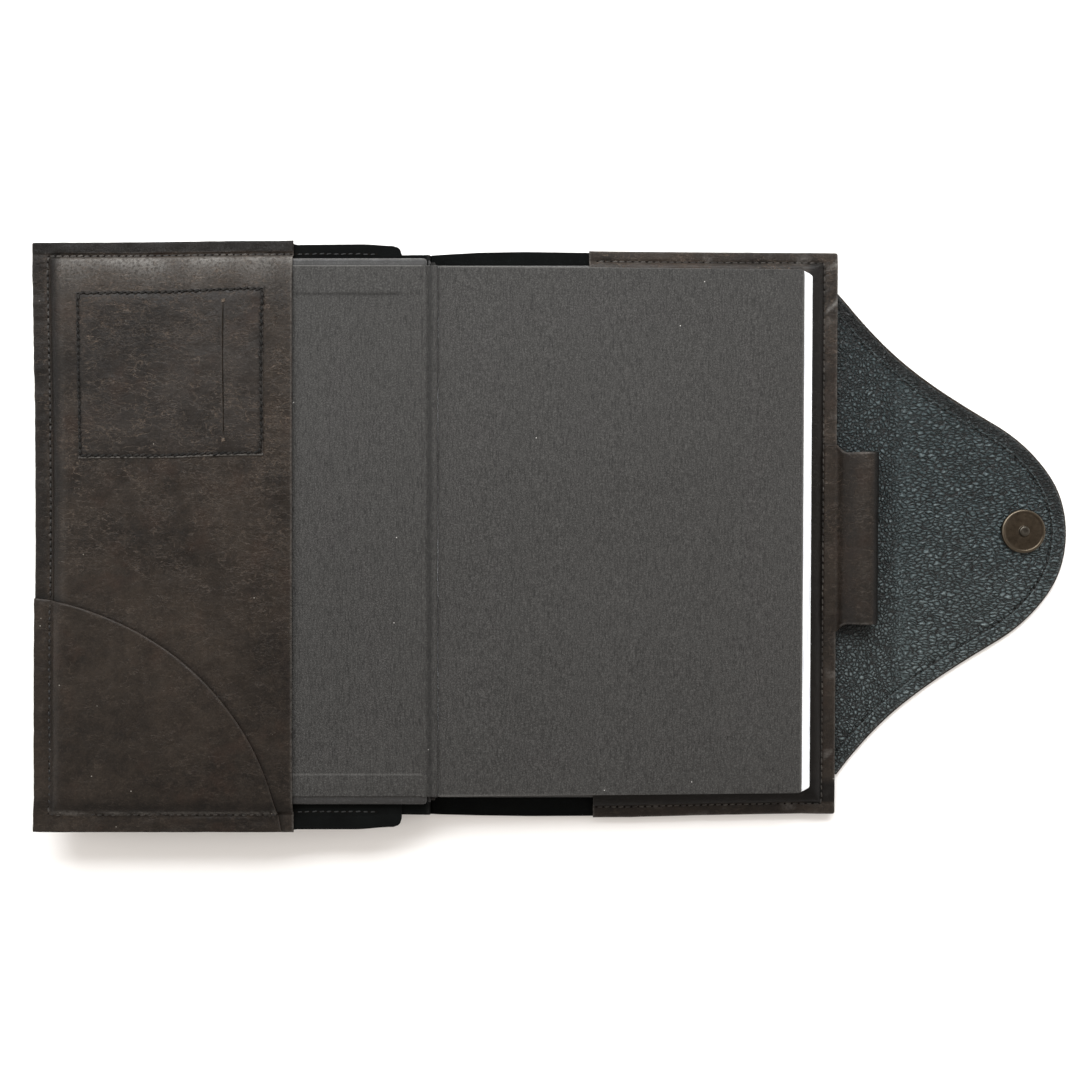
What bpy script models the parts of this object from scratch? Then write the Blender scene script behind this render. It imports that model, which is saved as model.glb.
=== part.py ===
"""Sketchbook portfolio case, open at its front cover: a two-tone leather cover with a sleeve for each board of a
hardbound sketchbook, a card pocket, a quarter-round pocket, a pen loop, and an ogee flap with a magnetic snap.
+X runs from the spine to the flap, +Y to the head of the book, +Z up. Everything lies on the plane z = 0."""
import math

import bpy
import numpy as np

MM = 0.001
GAP = 0.3  # air between neighbouring pieces

# ---- driving dimensions, millimetres
BACK_HALF = 114.9  # half the height of the back cover leather
FRONT_HALF = 117.2  # half the height of the front cover leather
SPINE_HALF = 111.6  # half the height of the spine leather
X_BACK_EDGE = 114.1  # fore edge of the back cover leather
X_SPINE_FOLD = -52.6  # where the back leather turns up into the spine
X_FRONT_EDGE = -208.3  # fore edge of the open front cover
X_FRONT_INNER = -63.2  # spine-side edge of the front panel
X_FRONT_MOUTH = -104.2  # mouth of the front sleeve
X_BACK_MOUTH = 14.3  # mouth of the back sleeve
SEAM_IN = 5.9  # seam inset of the front sleeve
BACK_SEAM_IN = 4.5
BOOK_Y = 1.4  # the book sits this far towards the head
BOARD_HALF = 108.15  # A5 case boards, 216.3 tall
BOARD_FRONT = (-200.0, -51.2)
BOARD_BACK = (-48.4, 104.6)
PAGE_HALF = 105.0  # 210 mm leaves
Z_OUTER, Z_LINING = (0.0, 1.4), (1.7, 2.5)
Z_BOARD_B, Z_PASTE_B, Z_SLEEVE_B = (2.8, 4.8), (5.1, 5.4), (5.7, 6.6)
Z_BLOCK = 6.9
Z_BLOCK_TOP_SPINE, Z_BLOCK_TOP_FORE = 16.9, 13.5
BLOCK_X0, BLOCK_X1_TOP, BLOCK_X1_BOTTOM = -49.7, 98.2, 102.9
LEAF = 0.3
Z_F_OUTER, Z_F_LINING, Z_F_BOARD = (12.2, 13.6), (13.9, 14.7), (15.0, 17.0)
Z_F_PASTE, Z_F_SLEEVE, Z_F_POCKET = (17.3, 17.6), (17.9, 18.9), (19.2, 20.2)
HINGE = (-48.8, 18.7)  # x, z of the front cover's fold
FLAP_AXIS = (114.6, 4.4)  # x, z of the flap's first fold
GUSSET = 23.7  # distance between the flap's two folds
FLAP_BASE = (114.97, 98.48, 1.262, 34.9)  # x, half width, slope, reach of the curve
FLAP_WAIST = (179.9, 43.5, 0.609, 36.5, 3.0)
FLAP_TIP = (208.3, 26.66)
FLAP_SEAM_IN = 6.2
SNAP_X, SNAP_R = 190.4, 9.0
FEMALE_X = -160.1
POCKET_X, POCKET_Y = (-189.5, -116.8), (30.6, 96.6)  # card pocket
SLIT_X, SLIT_Y = -131.0, (37.0, 94.5)
LOOP_Y = (-37.2, 33.0)
LOOP_X = (115.5, 130.1)
FLY_HINGE = (-46.7, 17.65)
STITCH = 2.85

for old in list(bpy.data.objects):
    bpy.data.objects.remove(old, do_unlink=True)

MATERIALS = {
    "leather_brown": ((0.040, 0.031, 0.025), 0.45, 0.0),
    "leather_blue": ((0.042, 0.052, 0.056), 0.5, 0.0),
    "suede_black": ((0.016, 0.018, 0.017), 0.9, 0.0),
    "grey_paper": ((0.070, 0.068, 0.065), 0.8, 0.0),
    "page_paper": ((0.86, 0.89, 0.93), 0.75, 0.0),
    "book_cloth": ((0.013, 0.013, 0.013), 0.6, 0.0),
    "antique_brass": ((0.11, 0.08, 0.05), 0.35, 1.0),
    "magnet_steel": ((0.35, 0.35, 0.36), 0.3, 1.0),
    "thread": ((0.02, 0.02, 0.02), 0.8, 0.0),
    "band_cloth": ((0.55, 0.55, 0.52), 0.8, 0.0),
}
made_materials = {}


def material(name):
    if name not in made_materials:
        colour, rough, metal = MATERIALS[name]
        m = bpy.data.materials.new(name)
        m.use_nodes = True
        b = m.node_tree.nodes["Principled BSDF"]
        b.inputs["Base Color"].default_value = (*colour, 1)
        b.inputs["Roughness"].default_value = rough
        b.inputs["Metallic"].default_value = metal
        m.diffuse_color = (*colour, 1)
        made_materials[name] = m
    return made_materials[name]


def solid(name, points, faces, mat, origin=(0, 0, 0), smooth=False):
    """A closed mesh from world points in millimetres, its origin at the given world point."""
    at = np.array(origin, float)
    mesh = bpy.data.meshes.new(name)
    mesh.from_pydata([tuple((np.array(p) - at) * MM) for p in points], [], [list(f) for f in faces])
    volume = 0.0
    mesh.calc_loop_triangles()
    co = [v.co for v in mesh.vertices]
    for t in mesh.loop_triangles:
        a, b, c = (co[i] for i in t.vertices)
        volume += a.dot(b.cross(c))
    if volume < 0:
        mesh.flip_normals()
    mesh.update()
    obj = bpy.data.objects.new(name, mesh)
    obj.location = tuple(at * MM)
    bpy.context.scene.collection.objects.link(obj)
    mesh.materials.append(material(mat))
    if smooth:
        mesh.polygons.foreach_set("use_smooth", [True] * len(mesh.polygons))
    return obj


def arc_corner(p, q, r, radius, n=4):
    """Points rounding the corner q between p and r."""
    p, q, r = (np.array(v, float) for v in (p, q, r))
    u, v = (p - q) / np.linalg.norm(p - q), (r - q) / np.linalg.norm(r - q)
    half = math.acos(max(-1, min(1, float(u @ v)))) / 2
    reach = radius / math.tan(half)
    a, b = q + u * reach, q + v * reach
    c = q + (u + v) / np.linalg.norm(u + v) * radius / math.sin(half)
    out = []
    a0 = math.atan2(*(a - c)[::-1])
    turn = (math.atan2(*(b - c)[::-1]) - a0 + math.pi) % (2 * math.pi) - math.pi
    for i in range(n + 1):
        t = a0 + turn * i / n
        out.append(c + radius * np.array([math.cos(t), math.sin(t)]))
    return out


def outline(corners):
    """A polygon from (x, y, radius) corners."""
    out = []
    for i, (x, y, r) in enumerate(corners):
        if r <= 0:
            out.append(np.array([x, y], float))
            continue
        p, s = corners[i - 1], corners[(i + 1) % len(corners)]
        out += arc_corner(p[:2], (x, y), s[:2], r)
    return np.array(out)


def inset(loop, d):
    """The closed polygon moved in by d along its corner bisectors, counterclockwise polygons only."""
    before, after = np.roll(loop, 1, 0), np.roll(loop, -1, 0)
    e1, e2 = loop - before, after - loop
    e1 /= np.linalg.norm(e1, axis=1)[:, None]
    e2 /= np.linalg.norm(e2, axis=1)[:, None]
    n1, n2 = np.c_[-e1[:, 1], e1[:, 0]], np.c_[-e2[:, 1], e2[:, 0]]
    n = n1 + n2
    n /= np.maximum((n * n1).sum(1) * np.linalg.norm(n, axis=1), 1e-9)[:, None] * 0 + np.linalg.norm(n, axis=1)[:, None]
    cosine = np.maximum((n * n1).sum(1), 0.4)
    return loop + n * (d / cosine)[:, None]


def plate(name, loop, z, mat, bevel=0.25, origin=(0, 0, 0), smooth=False):
    """A flat sheet with softened edges."""
    area = 0.5 * np.sum(loop[:, 0] * np.roll(loop[:, 1], -1) - np.roll(loop[:, 0], -1) * loop[:, 1])
    if area < 0:
        loop = loop[::-1]
    n, z0, z1 = len(loop), z[0], z[1]
    small = inset(loop, bevel)
    rings = [(small, z0), (loop, z0 + bevel), (loop, z1 - bevel), (small, z1)]
    pts = [(p[0], p[1], h) for ring, h in rings for p in ring]
    faces = [list(range(n))[::-1], [3 * n + i for i in range(n)]]
    for k in range(3):
        for i in range(n):
            j = (i + 1) % n
            faces.append((k * n + i, k * n + j, (k + 1) * n + j, (k + 1) * n + i))
    return solid(name, pts, faces, mat, origin, smooth)


def grid(name, xs, ys, top, bottom, mat, move=None, origin=(0, 0, 0), skip=None):
    """A sheet on a grid of lines, with its two faces at heights top(x, y) and bottom(x, y). move shifts a grid point
    in plan, and skip leaves a cell out."""
    nx, ny = len(xs), len(ys)
    pts, used = [], {}
    cells = [(i, j) for i in range(nx - 1) for j in range(ny - 1) if not (skip and skip(0.5 * (xs[i] + xs[i + 1]), 0.5 * (ys[j] + ys[j + 1])))]
    inside = set(cells)

    def vertex(i, j, side):
        key = (i, j, side)
        if key not in used:
            x, y = (xs[i], ys[j]) if move is None else move(xs[i], ys[j])
            used[key] = len(pts)
            pts.append((x, y, top(xs[i], ys[j]) if side else bottom(xs[i], ys[j])))
        return used[key]

    faces = []
    for i, j in cells:
        corners = [(i, j), (i + 1, j), (i + 1, j + 1), (i, j + 1)]
        faces.append([vertex(*c, 1) for c in corners])
        faces.append([vertex(*c, 0) for c in corners[::-1]])
        for k, (di, dj) in enumerate([(0, -1), (1, 0), (0, 1), (-1, 0)]):
            if (i + di, j + dj) not in inside:
                a, b = corners[k], corners[(k + 1) % 4]
                faces.append([vertex(*a, 0), vertex(*b, 0), vertex(*b, 1), vertex(*a, 1)])
    return solid(name, pts, faces, mat, origin)


def bezier(a, b, c, d, n):
    t = np.linspace(0, 1, n)[:, None]
    return (1 - t) ** 3 * a + 3 * (1 - t) ** 2 * t * b + 3 * (1 - t) * t * t * c + t**3 * d


def ogee(n1=16, n2=16):
    """The upper half of the flap's edge, from its base to its tip."""
    x0, h0, s0, l0 = FLAP_BASE
    x1, h1, s1, l1, l2 = FLAP_WAIST
    u0, u1 = np.array([1, -s0]) / math.hypot(1, s0), np.array([1, -s1]) / math.hypot(1, s1)
    a, d = np.array([x0, h0]), np.array([x1, h1])
    first = bezier(a, a + l0 * u0, d - l1 * u1, d, n1)
    g = np.array([FLAP_TIP[0], 0.0])
    return np.vstack([first, bezier(d, d + l2 * u1, g + [0, FLAP_TIP[1]], g, n2)[1:]])


def flap_part(x0, x1, edge=0.0):
    """The flap's outline between two lines across it, moved in from its edge."""
    upper = ogee()
    if edge:
        t = np.gradient(upper, axis=0)
        t /= np.linalg.norm(t, axis=1)[:, None]
        upper = upper + edge * np.c_[t[:, 1], -t[:, 0]]
        upper[-1] = [FLAP_TIP[0] - edge, 0]
    start = [x0, float(np.interp(x0, upper[:, 0], upper[:, 1]))]
    inner = [start] + [list(p) for p in upper[:-1] if x0 + 0.4 < p[0] < x1 - 0.4]
    if x1 < upper[-1, 0]:
        inner.append([x1, float(np.interp(x1, upper[:, 0], upper[:, 1]))])
        lower = [[x, -y] for x, y in inner[::-1]]
    else:
        lower = [[x, -y] for x, y in inner[::-1]]
        inner.append(list(upper[-1]))
    return np.array(inner + lower)[::-1]


def resample(path, step):
    path = np.array(path, float)
    along = np.r_[0, np.cumsum(np.linalg.norm(np.diff(path, axis=0), axis=1))]
    n = max(2, int(round(along[-1] / step)) + 1)
    at = np.linspace(0, along[-1], n)
    return np.stack([np.interp(at, along, path[:, k]) for k in range(path.shape[1])], 1)


def thread(name, path, height, origin=(0, 0, 0)):
    """A run of machine stitching along a path of (x, y): a waxed thread that rises between its holes, which sit
    one stitch apart. height(x, y) is the face of the leather below it."""
    p = resample(path, STITCH / 2)
    t = np.gradient(p, axis=0)
    t /= np.linalg.norm(t, axis=1)[:, None]
    side = np.c_[-t[:, 1], t[:, 0]]
    pts, faces = [], []
    for i, (q, s) in enumerate(zip(p, side)):
        w = 0.42 if i % 2 else 0.24
        z = height(*q) + 0.12
        h = 0.34 if i % 2 else 0.14
        for a, b in ((-w, 0), (w, 0), (w * 0.6, h), (-w * 0.6, h)):
            pts.append((q[0] + s[0] * a, q[1] + s[1] * a, z + b))
    for i in range(len(p) - 1):
        for k in range(4):
            a, b = 4 * i + k, 4 * i + (k + 1) % 4
            faces.append((a, b, b + 4, a + 4))
    faces += [(3, 2, 1, 0), tuple(4 * (len(p) - 1) + k for k in range(4))]
    return solid(name, pts, faces, "thread", origin)


def along_y(name, section, y0, y1, mat, origin=(0, 0, 0)):
    """A bar with the given (x, z) section, from y0 to y1."""
    n = len(section)
    pts = [(x, y, z) for y in (y0, y1) for x, z in section]
    faces = [tuple(range(n - 1, -1, -1)), tuple(range(n, 2 * n))]
    faces += [(i, (i + 1) % n, n + (i + 1) % n, n + i) for i in range(n)]
    return solid(name, pts, faces, mat, origin)


def lathe(name, profile, centre, mat, n=32, origin=None):
    """A turned piece from (radius, z) points, its axis vertical through centre. A radius of 0 closes an end."""
    pts, faces, rings = [], [], []
    for r, z in profile:
        if r == 0:
            rings.append([len(pts)])
            pts.append((centre[0], centre[1], z))
        else:
            rings.append([len(pts) + i for i in range(n)])
            pts += [(centre[0] + r * math.cos(2 * math.pi * i / n), centre[1] + r * math.sin(2 * math.pi * i / n), z) for i in range(n)]
    pairs = list(zip(rings, rings[1:]))
    if profile[0][0] and profile[-1][0]:
        pairs.append((rings[-1], rings[0]))
    for a, b in pairs:
        for i in range(n):
            j = (i + 1) % n
            if len(a) == 1:
                faces.append((a[0], b[i], b[j]))
            elif len(b) == 1:
                faces.append((a[i], b[0], a[j]))
            else:
                faces.append((a[i], b[i], b[j], a[j]))
    return solid(name, pts, faces, mat, origin or (centre[0], centre[1], profile[0][1]), smooth=True)


def rect(x0, x1, y0, y1, r0=2.0, r1=2.0):
    """A rectangle counterclockwise, rounded by r0 at its two x0 corners and r1 at its two x1 corners."""
    return outline([(x0, y0, r0), (x1, y0, r1), (x1, y1, r1), (x0, y1, r0)])


# ---- back cover


def back_outline(x0, x1, trim=0.0):
    """The back leather in plan: the spine is a little narrower than the cover."""
    return outline([
        (x0, -SPINE_HALF + trim, 0), (-38.0, -SPINE_HALF + trim - 0.4, 0), (-24.0, -BACK_HALF + trim, 0),
        (x1, -BACK_HALF + trim, 2.0), (x1, BACK_HALF - trim, 2.0), (-24.0, BACK_HALF - trim, 0),
        (-38.0, SPINE_HALF - trim + 0.4, 0), (x0, SPINE_HALF - trim, 0)])


plate("back_cover_panel", back_outline(-50.6, X_BACK_EDGE), Z_OUTER, "leather_brown", 0.2)
plate("back_lining", back_outline(-50.6, X_BACK_EDGE - 0.5, 0.5), Z_LINING, "suede_black", 0.15)
# the spine leather: a turned-up strip, its foot beside the back panel
wall = [(-50.9, 0.0), (-50.9, 1.4), (-51.2, 1.7), (-51.2, 11.4), (-52.6, 11.6), (-52.6, 1.3), (-51.3, 0.0)]
along_y("spine_leather", wall, 0.2 - SPINE_HALF, SPINE_HALF - 0.2, "leather_brown")


def corner_move(x_edge, half, radius, sign):
    def move(x, y):
        if abs(x - x_edge) < 1e-6 and abs(abs(y) - half) < 1e-6:
            return x - sign * radius * 0.29, math.copysign(half - radius * 0.29, y)
        return x, y
    return move


by2 = sorted([s * v for s in (-1, 1) for v in (BACK_HALF, BACK_HALF - 2.0, BACK_HALF - BACK_SEAM_IN + 0.9, BACK_HALF - BACK_SEAM_IN + 0.1, 60.0)] + [0.0])
bx2 = [X_BACK_MOUTH, 60.0, 105.2, 106.2, X_BACK_EDGE - BACK_SEAM_IN, X_BACK_EDGE - 2.0, X_BACK_EDGE]


def slope_back(low, high):
    def height(x, y):
        dx, dy = 106.2 - x, BACK_HALF - BACK_SEAM_IN + 0.9 - abs(y)
        d = min(dx / 1.0, dy / 0.8)
        return low + (high - low) * max(0.0, min(1.0, d))
    return height


grid("right_sleeve", bx2, by2, slope_back(3.7, Z_SLEEVE_B[1]), slope_back(2.8, Z_SLEEVE_B[0]), "leather_brown", corner_move(X_BACK_EDGE, BACK_HALF, 2.0, 1))

y0, y1 = BOOK_Y - BOARD_HALF, BOOK_Y + BOARD_HALF
plate("book_back_board", rect(BOARD_BACK[0], BOARD_BACK[1], y0, y1, 1.0, 1.5), Z_BOARD_B, "book_cloth", 0.3)
plate("back_pastedown", rect(BOARD_BACK[0] + 2, BOARD_BACK[1] - 3.4, y0 + 3.2, y1 - 3.2, 0.5, 0.8), Z_PASTE_B, "grey_paper", 0.1)
spine_strip = outline([(-50.85, y0 + 0.5, 0.2), (-50.0, y0 + 0.5, 0.2), (-50.0, y1 - 0.5, 0.2), (-50.85, y1 - 0.5, 0.2)])
plate("book_spine_strip", spine_strip, (2.8, 14.6), "book_cloth", 0.1)


# ---- text block: a stack of leaves that is higher at the spine, its fore edge raked by the open position
def block_top(x):
    u = (x - BLOCK_X0) / (BLOCK_X1_TOP - BLOCK_X0)
    return Z_BLOCK_TOP_SPINE + (Z_BLOCK_TOP_FORE - Z_BLOCK_TOP_SPINE) * max(0.0, min(1.0, u))


block = [(BLOCK_X0, Z_BLOCK), (BLOCK_X1_BOTTOM - 0.5, Z_BLOCK), (BLOCK_X1_BOTTOM, Z_BLOCK + 0.8)]
for i in range(1, 6):
    u = i / 5
    block.append((BLOCK_X1_BOTTOM + (BLOCK_X1_TOP - BLOCK_X1_BOTTOM) * u**1.2, Z_BLOCK + 0.8 + (Z_BLOCK_TOP_FORE - Z_BLOCK - 0.8) * u))
block += [(60.0, block_top(60.0)), (10.0, block_top(10.0)), (BLOCK_X0 + 0.6, Z_BLOCK_TOP_SPINE), (BLOCK_X0, Z_BLOCK_TOP_SPINE - 0.8)]
along_y("text_block", block, BOOK_Y - PAGE_HALF, BOOK_Y + PAGE_HALF, "page_paper")
for name, s in (("head_band", 1), ("tail_band", -1)):
    y = BOOK_Y + s * (PAGE_HALF + GAP + 0.7)
    ring = [(BLOCK_X0 + 0.2, z) for z in (8.0, 12.0, 15.6)] + [(BLOCK_X0 + 1.6, 15.9), (BLOCK_X0 + 1.6, 7.7)]
    along_y(name, ring, y - 0.7, y + 0.7, "band_cloth")
fy0, fy1 = BOOK_Y - PAGE_HALF, BOOK_Y + PAGE_HALF
plate("endpaper_tip", rect(BLOCK_X0 + 0.7, -46.9, fy0, fy1, 0.2, 0.2), (17.2, 17.5), "grey_paper", 0.08)


def fly(x, lift):
    return block_top(max(x, BLOCK_X0)) + GAP + lift


fly_x = [-46.5, -20.0, 25.0, 70.0, BLOCK_X1_TOP - 1.2, BLOCK_X1_TOP]
fly_y = [fy0, fy0 + 1.2, BOOK_Y, fy1 - 1.2, fy1]


def fly_move(x, y):
    if abs(x - BLOCK_X1_TOP) < 1e-6 and (abs(y - fy0) < 1e-6 or abs(y - fy1) < 1e-6):
        return x - 0.4, y + (0.4 if y < 0 else -0.4)
    return x, y


grid("flyleaf", fly_x, fly_y, lambda x, y: fly(x, LEAF), lambda x, y: fly(x, 0), "grey_paper", fly_move, (FLY_HINGE[0], 0, FLY_HINGE[1]))

# ---- front cover, lying open
ON_HINGE = (HINGE[0], 0, HINGE[1])
front_plan = rect(X_FRONT_EDGE, X_FRONT_INNER, -FRONT_HALF, FRONT_HALF, 3.0, 4.0)
panel = plate("front_cover_panel", front_plan, Z_F_OUTER, "leather_brown", 0.2, ON_HINGE)
plate("front_lining", rect(X_FRONT_EDGE + 0.4, X_FRONT_INNER - 0.4, -FRONT_HALF + 0.4, FRONT_HALF - 0.4, 3.0, 4.0), Z_F_LINING, "suede_black", 0.15, ON_HINGE)
plate("spine_leather_front_leaf", rect(X_FRONT_INNER + GAP, -53.4, -SPINE_HALF, SPINE_HALF, 0.5, 0.5), Z_F_OUTER, "leather_brown", 0.2, ON_HINGE)
plate("book_front_board", rect(*BOARD_FRONT, y0, y1, 1.5, 1.0), Z_F_BOARD, "book_cloth", 0.3, ON_HINGE)
plate("front_pastedown", rect(BOARD_FRONT[0] + 3.4, BOARD_FRONT[1] - 1.4, y0 + 3.2, y1 - 3.2, 0.8, 0.5), Z_F_PASTE, "grey_paper", 0.1, ON_HINGE)
LEFT_WALL = X_FRONT_EDGE + 7.3  # outside of the board's fore edge
HEAD_WALL = FRONT_HALF - SEAM_IN + 0.2


def front_sleeve_height(low, high):
    def height(x, y):
        d = min((x - LEFT_WALL) / 0.9, (HEAD_WALL - abs(y)) / 0.9)
        return low + (high - low) * max(0.0, min(1.0, d))
    return height


sleeve_top = front_sleeve_height(16.0, Z_F_SLEEVE[1])
fx = [X_FRONT_EDGE, X_FRONT_EDGE + 3.0, LEFT_WALL, LEFT_WALL + 0.9, -150.0, X_FRONT_MOUTH]
fy = sorted([s * v for s in (-1, 1) for v in (FRONT_HALF, FRONT_HALF - 3.0, HEAD_WALL, HEAD_WALL - 0.9, 60.0)] + [0.0])
grid("left_sleeve", fx, fy, sleeve_top, front_sleeve_height(15.0, Z_F_SLEEVE[0]), "leather_brown", corner_move(X_FRONT_EDGE, FRONT_HALF, 3.0, -1), ON_HINGE)

# card pocket: a patch sewn on three sides, with a long slit that the cards go in by
px0, px1 = POCKET_X[0] - 1.2, POCKET_X[1] + 1.2
py0, py1 = POCKET_Y[0] - 1.4, POCKET_Y[1] + 1.2
cx = [px0, px0 + 1, SLIT_X - 0.35, SLIT_X + 0.35, px1 - 1, px1]
cy = [py0, py0 + 1, SLIT_Y[0], 65.0, SLIT_Y[1], py1 - 1, py1]


def in_slit(x, y):
    return abs(x - SLIT_X) < 0.35 and SLIT_Y[0] < y < SLIT_Y[1]


grid("card_pocket", cx, cy, lambda x, y: Z_F_POCKET[1] - 0.1, lambda x, y: Z_F_POCKET[0], "leather_brown", None, ON_HINGE, in_slit)

# quarter-round pocket: sewn at its left and bottom sides, open along the curve
curve = bezier(np.array([X_FRONT_EDGE + 0.2, -26.0]), np.array([-163.0, -29.0]), np.array([-118.0, -61.0]), np.array([-110.0, -FRONT_HALF + 0.2]), 22)


def quarter_head(x):
    """The pocket's curved edge as a height above the tail, for a given x."""
    return float(np.interp(x, curve[:, 0], curve[:, 1]))


qx = [X_FRONT_EDGE + 0.2, LEFT_WALL - 0.45, LEFT_WALL + 0.45] + [float(v) for v in curve[4:-1:1, 0]] + [-110.0]
low_y, wall_lo, wall_hi = -FRONT_HALF + 0.2, -HEAD_WALL - 0.45, -HEAD_WALL + 0.45
pts, rows = [], []
for x in qx:
    top_y = quarter_head(x)
    row = []
    for k, y in enumerate([low_y, wall_lo, wall_hi, wall_hi + (top_y - wall_hi) * 0.5, top_y]):
        y = min(y, top_y - (0.5 * (4 - k) if top_y > low_y + 3 else (4 - k) * (top_y - low_y) / 4 if top_y > low_y else 0))
        row.append((x, y))
    rows.append(row)
rows = [r for r in rows if r[-1][1] > low_y + 2.4]
rows[-1] = [(x, low_y + (y1_ - low_y)) for x, y1_ in rows[-1]]


def over_sleeve(low, high):
    def height(x, y):
        d = min((x - (LEFT_WALL - 0.45)) / 0.9, (HEAD_WALL + 0.45 - abs(y)) / 0.9)
        return low + (high - low) * max(0.0, min(1.0, d))
    return height


q_bottom, q_top = over_sleeve(16.3, Z_F_POCKET[0]), over_sleeve(17.2, Z_F_POCKET[1] - 0.1)
nr, nc = len(rows), 5
pts = [(x, y, q_bottom(x, y)) for r in rows for x, y in r] + [(x, y, q_top(x, y)) for r in rows for x, y in r]
faces, m = [], nr * nc
for i in range(nr - 1):
    for j in range(nc - 1):
        a, b, c, d = i * nc + j, (i + 1) * nc + j, (i + 1) * nc + j + 1, i * nc + j + 1
        faces += [(d, c, b, a), (m + a, m + b, m + c, m + d)]
    faces += [(i * nc, (i + 1) * nc, m + (i + 1) * nc, m + i * nc), (m + i * nc + nc - 1, m + (i + 1) * nc + nc - 1, (i + 1) * nc + nc - 1, i * nc + nc - 1)]
for j in range(nc - 1):
    faces += [(j + 1, j, m + j, m + j + 1), ((nr - 1) * nc + j, (nr - 1) * nc + j + 1, m + (nr - 1) * nc + j + 1, m + (nr - 1) * nc + j)]
solid("quarter_pocket", pts, faces, "leather_brown", ON_HINGE)

# ---- flap: a gusset as wide as the closed case is thick, then the tip
ON_BASE, ON_TIP = (FLAP_AXIS[0], 0, FLAP_AXIS[1]), (FLAP_AXIS[0] + GUSSET, 0, FLAP_AXIS[1])
g0, g1 = FLAP_AXIS[0], FLAP_AXIS[0] + GUSSET - 0.2
t0 = FLAP_AXIS[0] + GUSSET + 0.2
plate("flap_gusset_outer", flap_part(g0, g1), Z_OUTER, "leather_brown", 0.15, ON_BASE)
plate("flap_gusset_lining", flap_part(g0 + 0.3, g1, 0.7), Z_LINING, "leather_blue", 0.12, ON_BASE)
outer_tip = plate("flap_tip_outer", flap_part(t0, 1e9), Z_OUTER, "leather_brown", 0.15, ON_TIP)
lining_tip = plate("flap_tip_lining", flap_part(t0, 1e9, 0.7), Z_LINING, "leather_blue", 0.12, ON_TIP)


def cutter(name, radius, z, centre):
    c = lathe(name, [(0, z[0]), (radius, z[0]), (radius, z[1]), (0, z[1])], centre, "thread", 32)
    c.hide_render = True
    c.display_type = "WIRE"
    return c


def cut(obj, tool):
    b = obj.modifiers.new("cut", "BOOLEAN")
    b.operation, b.solver, b.object = "DIFFERENCE", "EXACT", tool


# male half of the snap, riveted through the lining; its washer is let into the outer leather
at = (SNAP_X, 0.3)
cut(lining_tip, cutter("snap_rivet_hole", 1.9, (1.5, 2.7), at))
cut(outer_tip, cutter("snap_washer_recess", 8.0, (0.75, 1.6), at))
lathe("snap_male_disc", [(0, 1.75), (1.55, 1.75), (1.55, 2.8), (8.6, 2.8), (SNAP_R, 3.1), (SNAP_R, 3.75), (8.5, 4.2), (7.9, 4.35), (7.2, 4.25), (2.6, 4.25), (2.25, 4.45), (2.1, 4.85), (1.6, 5.1), (0, 5.15)], at, "antique_brass", 40)
lathe("snap_male_washer", [(1.95, 1.05), (7.6, 1.05), (7.6, 1.4), (1.95, 1.4)], at, "magnet_steel", 28)
# female half, on the outside of the front cover, with its magnet and washer
at = (FEMALE_X, 0.3)
cut(panel, cutter("female_washer_recess", 8.0, (12.85, 13.8), at))
cut(panel, cutter("female_rivet_hole", 1.9, (12.0, 13.9), at))
lathe("snap_female_cup", [(0, 11.4), (8.0, 11.4), (8.2, 11.2), (8.2, 10.1), (8.0, 9.95), (3.4, 9.95), (3.4, 9.6), (8.6, 9.6), (SNAP_R, 9.9), (SNAP_R, 11.6), (8.7, 11.9), (1.55, 11.9), (1.55, 13.1), (0, 13.1)], at, "antique_brass", 40)
lathe("snap_female_magnet", [(3.3, 10.25), (7.8, 10.25), (7.8, 11.1), (3.3, 11.1)], at, "magnet_steel", 32)
lathe("snap_female_washer", [(1.95, 13.15), (7.6, 13.15), (7.6, 13.5), (1.95, 13.5)], at, "magnet_steel", 28)

# ---- pen loop: a folded leather tongue, open at both ends
lx0, lx1 = LOOP_X
zl0, zl1 = 2.9, 11.4


def loop_ring(t):
    """The tongue's section from its root, t is how far its skin lies in from the outside."""
    r_big, r_small = 3.6 - t, 1.6 - t
    x0, x1, z0, z1 = lx0 + t, lx1 - t, zl0 + t, zl1 - t
    out = []
    for cx_, cz_, r, a0 in ((x0 + r_small, z0 + r_small, r_small, 180), (x1 - r_big, z0 + r_big, r_big, 270), (x1 - r_big, z1 - r_big, r_big, 0), (x0 + r_small, z1 - r_small, r_small, 90)):
        for i in range(5):
            a = math.radians(a0 + 90 * i / 4)
            out.append((cx_ + r * math.cos(a), cz_ + r * math.sin(a)))
    return out


outer_ring, inner_ring = loop_ring(0.0), loop_ring(1.0)
n = len(outer_ring)
pts = [(x, y, z) for y in LOOP_Y for ring in (outer_ring, inner_ring) for x, z in ring]
faces = []
for i in range(n):
    j = (i + 1) % n
    faces += [(i, j, 2 * n + j, 2 * n + i), (n + j, n + i, 3 * n + i, 3 * n + j), (j, i, n + i, n + j), (2 * n + i, 2 * n + j, 3 * n + j, 3 * n + i)]
solid("pen_loop", pts, faces, "leather_brown", ON_BASE)

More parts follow.
